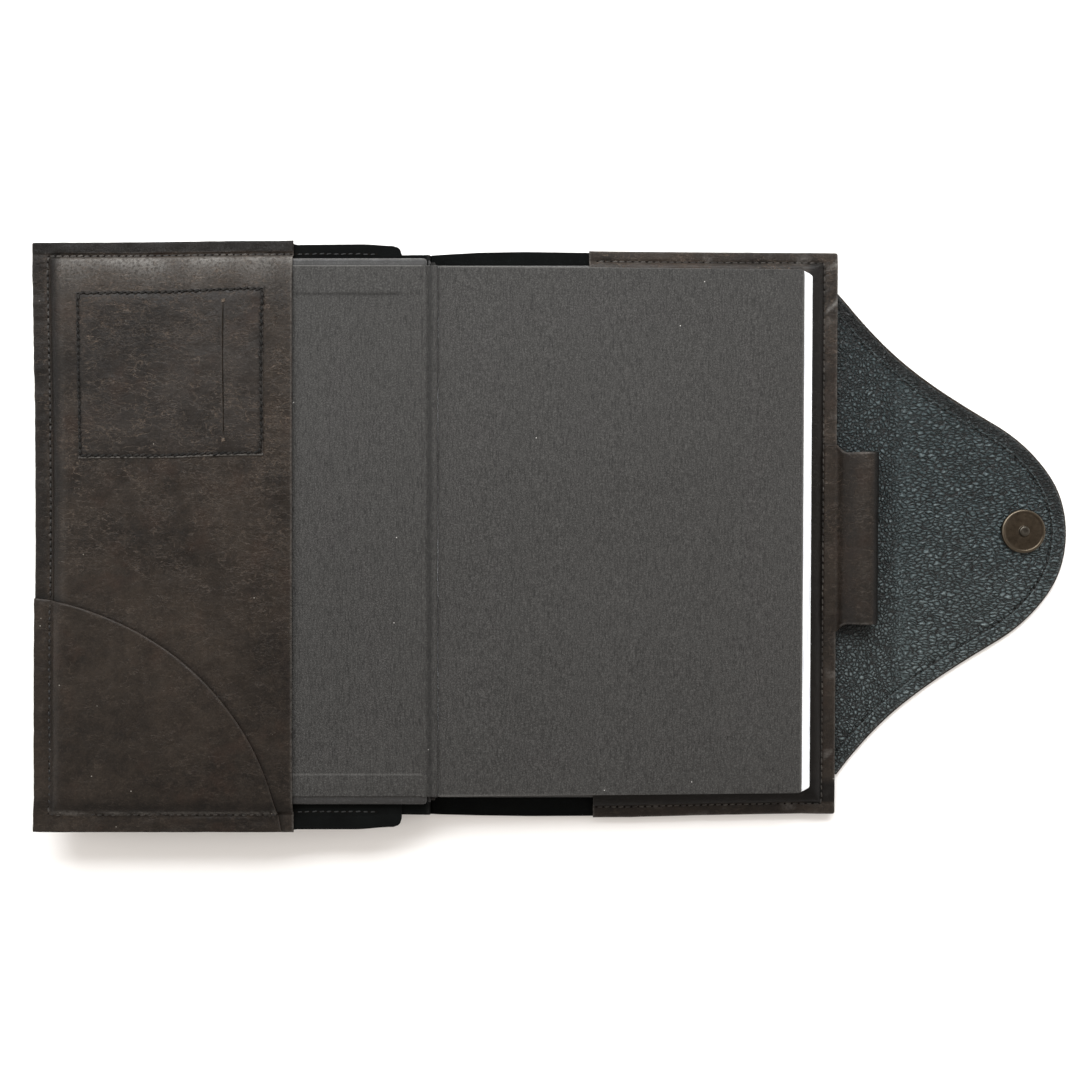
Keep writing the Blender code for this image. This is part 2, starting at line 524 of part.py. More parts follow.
# ---- stitching, one continuous thread for each seam
seam_y = FRONT_HALF - SEAM_IN + 1.4
seam_x = X_FRONT_EDGE + SEAM_IN + 0.2
thread("front_seam_thread", [(X_FRONT_MOUTH - 1, seam_y), (seam_x, seam_y), (seam_x, -24.5)], lambda x, y: 16.0 + 0.18, ON_HINGE)
thread("quarter_pocket_seam_thread", [(seam_x, -30.0), (seam_x, -seam_y), (-112.5, -seam_y)], lambda x, y: 17.2 + 0.18, ON_HINGE)
for name, s in (("front_panel_head_thread", 1), ("front_panel_tail_thread", -1)):
    thread(name, [(X_FRONT_MOUTH + 0.7, s * seam_y), (-70.5, s * seam_y)], lambda x, y: 14.7 + 0.18, ON_HINGE)
thread("card_pocket_thread", [(POCKET_X[1], POCKET_Y[1]), (POCKET_X[0], POCKET_Y[1]), (POCKET_X[0], POCKET_Y[0]), (POCKET_X[1], POCKET_Y[0]), (POCKET_X[1], POCKET_Y[1] - 2)], lambda x, y: Z_F_POCKET[1] + 0.08, ON_HINGE)
bseam_y, bseam_x = BACK_HALF - BACK_SEAM_IN + 1.6, X_BACK_EDGE - BACK_SEAM_IN - 1.0
thread("back_seam_thread", [(X_BACK_MOUTH + 1, bseam_y), (bseam_x, bseam_y), (bseam_x, -bseam_y), (X_BACK_MOUTH + 1, -bseam_y)], lambda x, y: 3.7 + 0.18)
edge = ogee(30, 30)
t = np.gradient(edge, axis=0)
t /= np.linalg.norm(t, axis=1)[:, None]
line = edge + FLAP_SEAM_IN * np.c_[t[:, 1], -t[:, 0]]
for name, s in (("flap_gusset_head_thread", 1), ("flap_gusset_tail_thread", -1)):
    part = [(x, s * y) for x, y in line if g0 + 0.8 < x < g1 - 0.6]
    thread(name, part, lambda x, y: Z_LINING[1] + 0.18, ON_BASE)
part = [(x, y) for x, y in line if x > t0 + 0.8 and y > 0.4]
part = part + [(x, -y) for x, y in part[::-1]]
thread("flap_tip_thread", part, lambda x, y: Z_LINING[1] + 0.18, ON_TIP)
bpy.context.view_layer.update()
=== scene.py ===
import math

import bpy
import numpy as np
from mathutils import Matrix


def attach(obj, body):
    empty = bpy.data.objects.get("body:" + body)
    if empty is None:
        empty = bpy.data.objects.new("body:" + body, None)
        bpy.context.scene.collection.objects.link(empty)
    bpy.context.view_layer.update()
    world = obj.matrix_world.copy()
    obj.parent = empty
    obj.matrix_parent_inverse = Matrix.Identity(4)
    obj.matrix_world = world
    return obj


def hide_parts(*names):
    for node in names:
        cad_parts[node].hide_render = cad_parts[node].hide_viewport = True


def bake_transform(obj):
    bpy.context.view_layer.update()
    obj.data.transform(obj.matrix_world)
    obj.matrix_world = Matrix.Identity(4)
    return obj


for name in ("Cube", "Light", "Camera"):
    if name in bpy.data.objects:
        bpy.data.objects.remove(bpy.data.objects[name], do_unlink=True)
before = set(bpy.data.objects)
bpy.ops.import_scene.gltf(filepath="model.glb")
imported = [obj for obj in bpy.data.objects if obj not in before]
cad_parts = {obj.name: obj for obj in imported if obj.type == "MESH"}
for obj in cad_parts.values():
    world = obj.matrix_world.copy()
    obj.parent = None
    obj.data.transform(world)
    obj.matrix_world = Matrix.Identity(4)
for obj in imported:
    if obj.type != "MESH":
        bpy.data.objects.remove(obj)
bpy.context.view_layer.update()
MM = 0.001
RNG = np.random.default_rng(7)
scene = bpy.context.scene

# ---------------------------------------------------------------- dimensions (mm), as in the CAD
BACK_HALF, FRONT_HALF, SPINE_HALF = 114.9, 117.2, 111.6
X_BACK_EDGE, X_FRONT_EDGE, X_FRONT_INNER = 114.1, -208.3, -63.2
X_MOUTH, X_BACK_MOUTH = -104.2, 14.3
SEAM_X, SEAM_HEAD, SEAM_TAIL = -202.1, 111.6, -110.1
BACK_SEAM_X, BACK_SEAM_Y = 108.6, 110.6
BOOK_Y, BOARD_HALF, PAGE_HALF = 1.4, 108.15, 105.0
HINGE = (-48.8, 18.7)
AXIS, GUSSET = (114.6, 4.4), 23.7
TIP_X = AXIS[0] + GUSSET
STITCH = 2.85


# ---------------------------------------------------------------- node helper
class Mat:
    """A Principled material with a small vocabulary of nodes. Coordinates are the object's own, in millimetres."""

    def __init__(self, name, **plain):
        self.m = bpy.data.materials.new(name)
        self.m.use_nodes = True
        self.t = self.m.node_tree
        self.p = self.t.nodes["Principled BSDF"]
        for k, v in plain.items():
            self.p.inputs[k.replace("_", " ")].default_value = v
        tc = self.t.nodes.new("ShaderNodeTexCoord")
        self.mm = self.vmath("SCALE", tc.outputs["Object"], scale=1000.0)
        self.h = None

    def put(self, socket, value):
        if hasattr(value, "is_linked") or isinstance(value, bpy.types.NodeSocket):
            self.t.links.new(value, socket)
        elif isinstance(value, (tuple, list)) and len(value) == 3 and socket.type == "RGBA":
            socket.default_value = (*value, 1)
        else:
            socket.default_value = value

    def vmath(self, op, a, b=None, scale=None):
        n = self.t.nodes.new("ShaderNodeVectorMath")
        n.operation = op
        self.put(n.inputs[0], a)
        if b is not None:
            self.put(n.inputs[1], b)
        if scale is not None:
            n.inputs["Scale"].default_value = scale
        return n.outputs[0]

    def math(self, op, a, b=0.0, clamp=False):
        n = self.t.nodes.new("ShaderNodeMath")
        n.operation, n.use_clamp = op, clamp
        self.put(n.inputs[0], a)
        self.put(n.inputs[1], b)
        return n.outputs[0]

    def noise(self, size, detail=3.0, rough=0.55, vec=None, distort=0.0, stretch=None):
        """Noise whose blobs are about size mm across."""
        n = self.t.nodes.new("ShaderNodeTexNoise")
        v = vec or self.mm
        if stretch:
            v = self.vmath("MULTIPLY", v, stretch)
        self.put(n.inputs["Vector"], v)
        n.inputs["Scale"].default_value = 1.0 / size
        n.inputs["Detail"].default_value = detail
        n.inputs["Roughness"].default_value = rough
        n.inputs["Distortion"].default_value = distort
        return n.outputs["Fac"]

    def voronoi(self, size, feature="F1", vec=None, random=1.0, stretch=None):
        n = self.t.nodes.new("ShaderNodeTexVoronoi")
        n.feature = feature
        v = vec or self.mm
        if stretch:
            v = self.vmath("MULTIPLY", v, stretch)
        self.put(n.inputs["Vector"], v)
        n.inputs["Scale"].default_value = 1.0 / size
        n.inputs["Randomness"].default_value = random
        return n.outputs["Distance"]

    def ramp(self, fac, *stops, mode="LINEAR"):
        n = self.t.nodes.new("ShaderNodeValToRGB")
        n.color_ramp.interpolation = mode
        e = n.color_ramp.elements
        while len(e) < len(stops):
            e.new(0.5)
        for el, (pos, col) in zip(e, stops):
            el.position = pos
            col = (col, col, col) if isinstance(col, (int, float)) else col
            el.color = (*col, 1)
        self.put(n.inputs["Fac"], fac)
        return n.outputs["Color"]

    def value(self, fac, *stops):
        """A number from a ramp."""
        n = self.t.nodes.new("ShaderNodeMapRange")
        (a, x), (b, y) = stops
        n.interpolation_type = "SMOOTHSTEP"
        self.put(n.inputs["Value"], fac)
        for k, v in (("From Min", a), ("From Max", b), ("To Min", x), ("To Max", y)):
            n.inputs[k].default_value = v
        return n.outputs["Result"]

    def mix(self, fac, a, b, mode="MIX"):
        n = self.t.nodes.new("ShaderNodeMix")
        n.data_type, n.blend_type = "RGBA", mode
        self.put(n.inputs["Factor"], fac)
        self.put(n.inputs[6], a)
        self.put(n.inputs[7], b)
        return n.outputs[2]

    def attr(self, name):
        n = self.t.nodes.new("ShaderNodeAttribute")
        n.attribute_name = name
        return n.outputs["Fac"]

    def axis(self, k, vec=None):
        n = self.t.nodes.new("ShaderNodeSeparateXYZ")
        self.put(n.inputs[0], vec or self.mm)
        return n.outputs[k]

    def bump(self, height, distance, strength=1.0):
        """distance is in mm."""
        n = self.t.nodes.new("ShaderNodeBump")
        n.inputs["Strength"].default_value = strength
        n.inputs["Distance"].default_value = distance * MM
        self.put(n.inputs["Height"], height)
        if self.h is not None:
            self.put(n.inputs["Normal"], self.h)
        self.h = n.outputs["Normal"]
        self.put(self.p.inputs["Normal"], self.h)
        return self

    def colour(self, c):
        self.put(self.p.inputs["Base Color"], c)
        return self

    def rough(self, r):
        self.put(self.p.inputs["Roughness"], r)
        return self


def srgb(r, g, b):
    return tuple((v / 255 / 12.92) if v <= 10 else ((v / 255 + 0.055) / 1.055) ** 2.4 for v in (r, g, b))


def warp(m, size, amount, seed=0.0, detail=3.0):
    """Coordinates pushed about by a noise, so that cells and lines wander."""
    n = m.t.nodes.new("ShaderNodeTexNoise")
    m.put(n.inputs["Vector"], m.vmath("ADD", m.mm, (seed, seed * 1.7, 0.0)))
    n.inputs["Scale"].default_value = 1.0 / size
    n.inputs["Detail"].default_value = detail
    centred = m.vmath("SUBTRACT", n.outputs["Color"], (0.5, 0.5, 0.5))
    return m.vmath("ADD", m.mm, m.vmath("SCALE", centred, scale=amount * 2.0))


def waxed_leather(name, dark=(0.0055, 0.0041, 0.0032), light=(0.0205, 0.0155, 0.0118), crease=0.80, specks=True, lines_=(0.078, 0.059, 0.045)):
    """Oily pull-up leather: cloudy brown, fine pores, hairline creases where it has been bent, and a paler colour
    where an edge is worn; painted highlights and painted shade are laid in where the mesh marks them."""
    m = Mat(name)
    cloud = m.noise(34, 4, 0.62)
    mottle = m.noise(6.5, 5, 0.7, distort=0.8)
    fac = m.math("ADD", m.math("MULTIPLY", cloud, 0.60), m.math("MULTIPLY", mottle, 0.40))
    mid = tuple((p + q) / 2 for p, q in zip(dark, light))
    c = m.ramp(fac, (0.38, dark), (0.50, mid), (0.62, light))
    red = m.noise(21, 4, 0.65, vec=m.vmath("ADD", m.mm, (60.0, 10.0, 0.0)))
    c = m.mix(m.value(red, (0.52, 0.0), (0.70, 0.50)), c, (0.0205, 0.0120, 0.0085))
    fine = m.noise(0.65, 4, 0.75)
    c = m.mix(m.value(fine, (0.50, 0.0), (0.72, 0.40)), c, tuple(v * 1.9 for v in light))
    c = m.mix(m.value(fine, (0.50, 0.0), (0.30, 0.45)), c, tuple(v * 0.5 for v in dark))
    # hairlines: edges of wandering cells, wider than tall, gathered into patches
    v1 = m.vmath("MULTIPLY", warp(m, 8.0, 3.6, 3.0, 4.0), (0.40, 1.45, 1.0))
    v2 = m.vmath("MULTIPLY", warp(m, 3.4, 1.3, 9.0, 3.0), (0.50, 1.45, 1.0))
    h1 = m.value(m.voronoi(4.3, "DISTANCE_TO_EDGE", vec=v1), (0.004, 1.0), (0.034, 0.0))
    h2 = m.value(m.voronoi(1.9, "DISTANCE_TO_EDGE", vec=v2), (0.010, 0.9), (0.075, 0.0))
    where1 = m.value(m.noise(13, 4, 0.65), (0.44, 0.0), (0.60, 1.0))
    where2 = m.value(m.noise(9, 4, 0.7, vec=m.vmath("ADD", m.mm, (31.0, 7.0, 0.0))), (0.50, 0.0), (0.66, 0.85))
    hair = m.math("MAXIMUM", m.math("MULTIPLY", h1, where1), m.math("MULTIPLY", h2, where2))
    v3 = m.vmath("MULTIPLY", warp(m, 2.4, 0.9, 21.0, 3.0), (0.42, 1.30, 1.0))
    h3 = m.value(m.voronoi(1.15, "DISTANCE_TO_EDGE", vec=v3), (0.01, 0.55), (0.11, 0.0))
    where3 = m.value(m.noise(17, 4, 0.7, vec=m.vmath("ADD", m.mm, (5.0, 47.0, 0.0))), (0.44, 0.0), (0.60, 1.0))
    hair = m.math("MAXIMUM", hair, m.math("MULTIPLY", h3, where3))
    # long wandering folds, lying mostly across the cover
    long1 = m.math("ABSOLUTE", m.math("SUBTRACT", m.noise(6.2, 4, 0.60, stretch=(0.42, 1.35, 1.0), distort=0.3), 0.50))
    long2 = m.math("ABSOLUTE", m.math("SUBTRACT", m.noise(3.1, 4, 0.62, vec=m.vmath("ADD", m.mm, (83.0, 19.0, 0.0)), stretch=(0.45, 1.25, 1.0), distort=0.3), 0.48))
    g1 = m.math("MULTIPLY", m.value(long1, (0.002, 1.0), (0.016, 0.0)), m.value(m.noise(15, 3, 0.6, vec=m.vmath("ADD", m.mm, (9.0, 71.0, 0.0))), (0.42, 0.0), (0.56, 1.0)))
    g2 = m.math("MULTIPLY", m.value(long2, (0.002, 0.8), (0.020, 0.0)), m.value(m.noise(12, 3, 0.6, vec=m.vmath("ADD", m.mm, (27.0, 3.0, 0.0))), (0.46, 0.0), (0.60, 1.0)))
    hair = m.math("MAXIMUM", m.math("MULTIPLY", hair, 0.75), m.math("MAXIMUM", g1, g2))
    hair = m.math("MULTIPLY", hair, m.value(m.noise(1.6, 3, 0.7), (0.36, 0.10), (0.60, 1.0)))
    hair = m.math("MULTIPLY", hair, m.value(m.axis(1), (-60.0, 0.30), (55.0, 1.0)))
    c = m.mix(m.math("MULTIPLY", hair, crease), c, lines_)
    if specks:
        sp = m.voronoi(8.5)
        c = m.mix(m.value(sp, (0.016, 0.8), (0.036, 0.0)), c, (0.30, 0.28, 0.25))
    # pale grey where an edge is worn, and painted highlight where the mesh marks one (a ridge over a board, a crease, a
    # loop's crown)
    wear_and_highlight = m.math("MULTIPLY", m.attr("wear_and_highlight"), m.value(m.noise(1.1, 4, 0.75), (0.34, 0.15), (0.60, 1.0)))
    c = m.mix(wear_and_highlight, c, (0.170, 0.163, 0.153))
    # painted shade: near black where the mesh marks shade
    c = m.mix(m.math("MULTIPLY", m.attr("dark"), 0.9), c, (0.0018, 0.0015, 0.0013))
    m.colour(c)
    r = m.value(m.noise(3.4, 5, 0.7), (0.32, 0.32), (0.70, 0.46))
    r = m.math("ADD", r, m.math("MULTIPLY", fine, 0.08))
    m.rough(m.math("SUBTRACT", r, m.math("MULTIPLY", m.attr("wear_and_highlight"), 0.10)))
    m.bump(m.noise(11, 3, 0.55, distort=1.0), 0.50, 0.8)
    m.bump(mottle, 0.22, 0.6)
    m.bump(m.math("SUBTRACT", 1.0, hair), 0.14, 1.0)
    crackle = m.noise(1.0, 4, 0.7, stretch=(1.5, 0.32, 1.0), distort=0.5)
    m.bump(m.math("MULTIPLY", crackle, m.attr("crackle")), 0.55, 0.9)
    m.bump(m.voronoi(0.95), 0.06, 0.7)
    m.bump(fine, 0.06, 0.9)
    m.p.inputs["Specular IOR Level"].default_value = 0.17
    return m.m


def pebbled_leather(name):
    """Blue-green embossed leather: irregular pebbles, closer near the fold and drawn into slanting waves past it, with
    painted shade in the valleys, painted highlights on the pebble tops and on the ridge beside the seam, and painted
    shade in the seam's groove."""
    m = Mat(name)
    warped = warp(m, 5.5, 1.5, 0.0, 2.0)
    x = m.axis(0)
    past = m.value(x, (TIP_X - 4.0, 0.0), (TIP_X + 10.0, 1.0))
    near = m.vmath("MULTIPLY", warped, (0.95, 0.95, 1.0))
    far = m.t.nodes.new("ShaderNodeMapping")
    m.put(far.inputs["Vector"], warped)
    far.inputs["Rotation"].default_value = (0, 0, 0.42)
    far.inputs["Scale"].default_value = (0.55, 1.25, 1.0)
    cell_a = m.voronoi(1.40, "DISTANCE_TO_EDGE", vec=near)
    cell_b = m.voronoi(1.55, "DISTANCE_TO_EDGE", vec=far.outputs[0])
    cell_c = m.voronoi(0.85, "DISTANCE_TO_EDGE", vec=warped)

    def blend(p, q):
        return m.math("ADD", m.math("MULTIPLY", p, m.math("SUBTRACT", 1.0, past)), m.math("MULTIPLY", q, past))
    valley_shade = blend(m.value(cell_a, (0.01, 0.0), (0.26, 1.0)), m.value(cell_b, (0.01, 0.0), (0.22, 1.0)))
    dome = blend(m.value(cell_a, (0.0, 0.0), (0.46, 1.0)), m.value(cell_b, (0.0, 0.0), (0.48, 1.0)))
    valley2 = m.value(cell_c, (0.0, 0.0), (0.25, 1.0))
    cloud = m.noise(22, 4, 0.6)
    base = m.ramp(cloud, (0.32, (0.0240, 0.0385, 0.0425)), (0.55, (0.0350, 0.0530, 0.0580)), (0.75, (0.0470, 0.0680, 0.0730)))
    # lighter towards the tail
    low = m.value(m.axis(1), (-60.0, 1.0), (25.0, 0.0))
    base = m.mix(m.math("MULTIPLY", low, 0.75), base, (0.0720, 0.0960, 0.1000))
    # painted shade in the pebbles' valleys
    c = m.mix(m.math("SUBTRACT", 1.0, valley_shade), base, (0.0008, 0.0012, 0.0014))
    # painted highlight on the pebble tops, stronger towards the tail
    pebble_top_highlight = m.math("MULTIPLY", m.value(m.noise(2.2, 3, 0.7), (0.36, 0.30), (0.64, 0.90)), m.value(dome, (0.30, 0.0), (0.80, 1.0)))
    c = m.mix(pebble_top_highlight, c, (0.104, 0.130, 0.137))
    c = m.mix(m.math("MULTIPLY", m.math("MULTIPLY", pebble_top_highlight, low), 0.6), c, (0.150, 0.178, 0.182))
    # darker towards the head
    c = m.mix(m.value(m.axis(1), (25.0, 0.0), (75.0, 0.22)), c, (0.0090, 0.0135, 0.0150))
    sp = m.voronoi(9.0)
    c = m.mix(m.value(sp, (0.014, 0.6), (0.032, 0.0)), c, (0.35, 0.34, 0.32))
    # painted shade in the seam's groove, then a painted highlight on the ridge beside it
    line = m.value(m.math("ABSOLUTE", m.math("SUBTRACT", m.attr("rim"), 6.2)), (0.05, 0.75), (0.45, 0.0))
    c = m.mix(line, c, (0.0015, 0.0020, 0.0022))
    seam_ridge_highlight = m.value(m.math("ABSOLUTE", m.math("SUBTRACT", m.attr("rim"), 5.55)), (0.05, 0.42), (0.34, 0.0))
    seam_ridge_highlight = m.math("MULTIPLY", seam_ridge_highlight, m.value(m.noise(3.0, 3, 0.7), (0.36, 0.25), (0.60, 1.0)))
    c = m.mix(seam_ridge_highlight, c, (0.105, 0.130, 0.135))
    # painted shade where the mesh marks it; paler where an edge is worn
    c = m.mix(m.math("MULTIPLY", m.attr("dark"), 0.86), c, (0.0020, 0.0025, 0.0028))
    c = m.mix(m.math("MULTIPLY", m.attr("wear_and_highlight"), 0.55), c, (0.10, 0.11, 0.108))
    m.colour(c)
    m.rough(m.value(m.noise(2.0, 3, 0.6), (0.3, 0.27), (0.7, 0.38)))
    m.bump(m.noise(14, 2, 0.5), 0.6, 0.7)
    rim = m.attr("rim")
    seam = m.value(m.math("ABSOLUTE", m.math("SUBTRACT", rim, 6.3)), (0.0, 0.0), (0.75, 1.0))
    m.bump(seam, 0.55, 1.0)
    lap = m.value(m.attr("lap"), (-0.12, 0.0), (0.12, 1.0))
    m.bump(lap, 0.45, 1.0)
    m.bump(dome, 1.05, 1.0)
    m.bump(valley2, 0.14, 0.9)
    m.bump(m.noise(0.3, 3, 0.7), 0.05, 0.8)
    m.p.inputs["Specular IOR Level"].default_value = 0.26
    return m.m


def suede(name):
    m = Mat(name)
    c = m.ramp(m.noise(11, 5, 0.7), (0.3, (0.0007, 0.0009, 0.0009)), (0.7, (0.0020, 0.0026, 0.0025)))
    c = m.mix(m.value(m.noise(0.35, 3, 0.8), (0.45, 0.0), (0.75, 0.4)), c, (0.0060, 0.0070, 0.0067))
    m.colour(c)
    m.rough(0.95)
    m.p.inputs["Specular IOR Level"].default_value = 0.08
    m.p.inputs["Sheen Weight"].default_value = 0.006
    m.p.inputs["Sheen Roughness"].default_value = 0.6
    m.bump(m.noise(0.45, 4, 0.8), 0.18, 0.8)
    m.bump(m.noise(6, 3, 0.6), 0.25, 0.5)
    return m.m


def raw_edge(name, a=(0.022, 0.016, 0.012), b=(0.060, 0.044, 0.033)):
    """A cut edge of leather: fibrous, paler than the face."""
    m = Mat(name)
    m.colour(m.ramp(m.noise(0.7, 4, 0.8, stretch=(1, 1, 3)), (0.3, a), (0.75, b)))
    m.rough(0.85)
    m.bump(m.noise(0.35, 3, 0.8), 0.12, 0.8)
    m.p.inputs["Specular IOR Level"].default_value = 0.25
    return m.m


def grey_paper(name, shade=1.0, fold=0.0):
    """Dyed endpaper: laid fibres and a faint upright grain, with a few pale hairs and specks of dust."""
    m = Mat(name)
    lo, hi = (0.0205, 0.0200, 0.0192), (0.0250, 0.0245, 0.0237)
    c = m.ramp(m.noise(60, 2, 0.4), (0.3, tuple(v * shade for v in lo)), (0.7, tuple(v * shade for v in hi)))
    c = m.mix(m.value(m.noise(0.62, 4, 0.8), (0.42, 0.0), (0.66, 0.95)), c, (0.062, 0.061, 0.059))
    c = m.mix(m.value(m.noise(0.95, 5, 0.85, stretch=(1.7, 0.25, 1)), (0.44, 0.0), (0.68, 0.85)), c, (0.0070, 0.0069, 0.0066))
    c = m.mix(m.value(m.noise(2.4, 4, 0.8, stretch=(1.4, 0.4, 1)), (0.50, 0.0), (0.74, 0.35)), c, (0.050, 0.049, 0.047))
    sp = m.voronoi(15.0)
    c = m.mix(m.value(sp, (0.008, 0.9), (0.019, 0.0)), c, (0.50, 0.49, 0.47))
    # paler where an edge is worn, and painted highlight lines where the mesh marks them
    c = m.mix(m.math("MULTIPLY", m.attr("wear_and_highlight"), 0.8), c, (0.20, 0.198, 0.19))
    # painted shade where the mesh marks it
    c = m.mix(m.math("MULTIPLY", m.attr("dark"), 0.85), c, (0.0060, 0.0058, 0.0056))
    m.colour(c)
    m.rough(0.72)
    m.p.inputs["Specular IOR Level"].default_value = 0.26
    m.bump(m.noise(0.7, 4, 0.8), 0.13, 0.9)
    m.bump(m.noise(1.2, 4, 0.8, stretch=(1.6, 0.3, 1)), 0.07, 0.6)
    m.bump(m.noise(18, 2, 0.5), 0.20, 0.5)
    return m.m


def page_edges(name):
    """The cut edges of white drawing paper, leaf on leaf."""
    m = Mat(name)
    z = m.axis(2)
    n = m.noise(0.30, 2, 0.6, stretch=(0.02, 0.02, 1.0))
    c = m.ramp(n, (0.32, (0.62, 0.65, 0.70)), (0.50, (0.84, 0.87, 0.91)), (0.70, (0.93, 0.95, 0.97)))
    # painted shade where the mesh marks it
    c = m.mix(m.math("MULTIPLY", m.attr("dark"), 0.6), c, (0.35, 0.37, 0.42))
    m.colour(c)
    m.rough(0.8)
    m.bump(n, 0.12, 0.6)
    m.bump(m.noise(0.6, 3, 0.7), 0.03, 0.5)
    return m.m


def book_cloth(name):
    """Black coated bookcloth: a fine square weave with worn edges."""
    m = Mat(name)
    w = []
    for k in (0, 1):
        n = m.t.nodes.new("ShaderNodeTexWave")
        n.bands_direction = "XY"[k]
        m.put(n.inputs["Vector"], m.mm)
        n.inputs["Scale"].default_value = 0.55
        n.inputs["Distortion"].default_value = 1.2
        n.inputs["Detail"].default_value = 2
        w.append(n.outputs["Fac"])
    weave = m.math("MULTIPLY", w[0], w[1])
    c = m.ramp(m.noise(7, 4, 0.7), (0.3, (0.0045, 0.0045, 0.0047)), (0.7, (0.011, 0.011, 0.0115)))
    c = m.mix(m.math("MULTIPLY", weave, 0.35), c, (0.030, 0.030, 0.030))
    c = m.mix(m.math("MULTIPLY", m.attr("wear_and_highlight"), m.value(m.noise(1.1, 4, 0.8), (0.35, 0.2), (0.6, 1.0))), c, (0.16, 0.157, 0.15))
    c = m.mix(m.value(m.noise(0.8, 4, 0.85), (0.54, 0.0), (0.72, 0.7)), c, (0.075, 0.074, 0.072))
    m.colour(c)
    m.rough(m.value(m.noise(4, 3, 0.6), (0.3, 0.42), (0.7, 0.6)))
    m.bump(weave, 0.06, 0.7)
    m.bump(m.noise(0.4, 3, 0.8), 0.05, 0.6)
    return m.m


def antique_metal(name, base=(0.046, 0.036, 0.026), bright=(0.33, 0.285, 0.22)):
    m = Mat(name, Metallic=1.0)
    c = m.ramp(m.noise(2.6, 5, 0.7), (0.3, tuple(v * 0.55 for v in base)), (0.7, tuple(v * 1.2 for v in base)))
    c = m.mix(m.attr("wear_and_highlight"), c, bright)
    sc = m.noise(0.35, 5, 0.8, stretch=(0.35, 2.2, 1))
    c = m.mix(m.value(sc, (0.58, 0.0), (0.80, 0.45)), c, bright)
    m.colour(c)
    m.rough(m.value(m.noise(1.2, 4, 0.7), (0.3, 0.26), (0.7, 0.46)))
    m.bump(m.noise(0.5, 4, 0.8), 0.03, 0.5)
    return m.m


def waxed_thread(name, a=(0.004, 0.0036, 0.0033), b=(0.150, 0.136, 0.120), shine=0.35):
    m = Mat(name)
    twist = m.t.nodes.new("ShaderNodeTexWave")
    twist.bands_direction = "DIAGONAL"
    m.put(twist.inputs["Vector"], m.mm)
    twist.inputs["Scale"].default_value = 1.1
    twist.inputs["Distortion"].default_value = 0.6
    # pale flecks along the twist, in patches: partly the strands' own colour and partly painted highlight
    highlight_patches = m.value(m.noise(5.5, 3, 0.7), (0.38, 0.10), (0.62, 0.85))
    c = m.mix(m.math("MULTIPLY", m.math("MULTIPLY", twist.outputs["Fac"], 0.8), highlight_patches), a, b)
    # painted shade on stitches that the mesh marks as shaded
    m.colour(m.mix(m.attr("dark"), c, (0.0022, 0.0020, 0.0019)))
    m.rough(0.45)
    m.p.inputs["Specular IOR Level"].default_value = shine
    m.bump(twist.outputs["Fac"], 0.10, 0.8)
    m.bump(m.noise(0.2, 3, 0.8), 0.03, 0.6)
    return m.m


# near-black discs for the needle holes: painted shade in the holes
def painted_hole_shade(name):
    m = Mat(name)
    m.colour(m.ramp(m.noise(0.5, 3, 0.6), (0.3, (0.002, 0.002, 0.002)), (0.7, (0.007, 0.006, 0.005))))
    m.rough(0.95)
    m.p.inputs["Specular IOR Level"].default_value = 0.05
    return m.m


BROWN = waxed_leather("waxed_brown_leather")
BROWN_PATCH = waxed_leather("waxed_brown_patch", (0.0054, 0.0043, 0.0036), (0.0185, 0.0152, 0.0130), 0.72)
BROWN_OUT = waxed_leather("waxed_brown_outside")
BLUE = pebbled_leather("pebbled_blue_leather")
SUEDE = suede("black_suede")
EDGE = raw_edge("raw_leather_edge")
EDGE_PALE = raw_edge("raw_leather_edge_pale", (0.040, 0.031, 0.024), (0.115, 0.092, 0.072))
EDGE_DARK = raw_edge("inked_leather_edge", (0.002, 0.0019, 0.0018), (0.008, 0.0075, 0.007))
PAPER = grey_paper("grey_endpaper")
PAPER_EDGE = grey_paper("grey_endpaper_edge", 1.7)
PAGES = page_edges("page_edges")
CLOTH = book_cloth("black_bookcloth")
METAL = antique_metal("antique_brass")
METAL_BOSS = antique_metal("antique_brass_boss", (0.040, 0.036, 0.030), (0.14, 0.128, 0.108))
STEEL = antique_metal("nickel_steel", (0.32, 0.32, 0.33), (0.6, 0.6, 0.6))
THREAD = waxed_thread("waxed_thread")
THREAD_GREEN = waxed_thread("waxed_thread_grey", (0.003, 0.0034, 0.0034), (0.017, 0.019, 0.019))
THREAD_TAN = waxed_thread("waxed_thread_tan", (0.045, 0.032, 0.022), (0.20, 0.155, 0.115))
THREAD_DARK = waxed_thread("waxed_thread_black", (0.0016, 0.0015, 0.0014), (0.034, 0.030, 0.026), 0.14)
HOLE_SHADE = painted_hole_shade("needle_hole_shade")


# ---------------------------------------------------------------- mesh helpers
def waves(seed, size, n=9):
    """A smooth random height field of (x, y) in mm, about size mm from hill to hill, from -1 to 1."""
    r = np.random.default_rng(seed)
    ang, k = r.uniform(0, 2 * np.pi, n), 2 * np.pi / (size * r.uniform(0.7, 1.9, n))
    ph, am = r.uniform(0, 2 * np.pi, n), r.uniform(0.5, 1.0, n)
    am /= am.sum()

    def f(x, y):
        x, y = np.asarray(x, float), np.asarray(y, float)
        out = 0
        for i in range(n):
            out = out + am[i] * np.sin(k[i] * (np.cos(ang[i]) * x + np.sin(ang[i]) * y) + ph[i])
        return np.clip(out * 1.8, -1, 1)
    return f


def smooth(t):
    t = np.clip(t, 0, 1)
    return t * t * (3 - 2 * t)


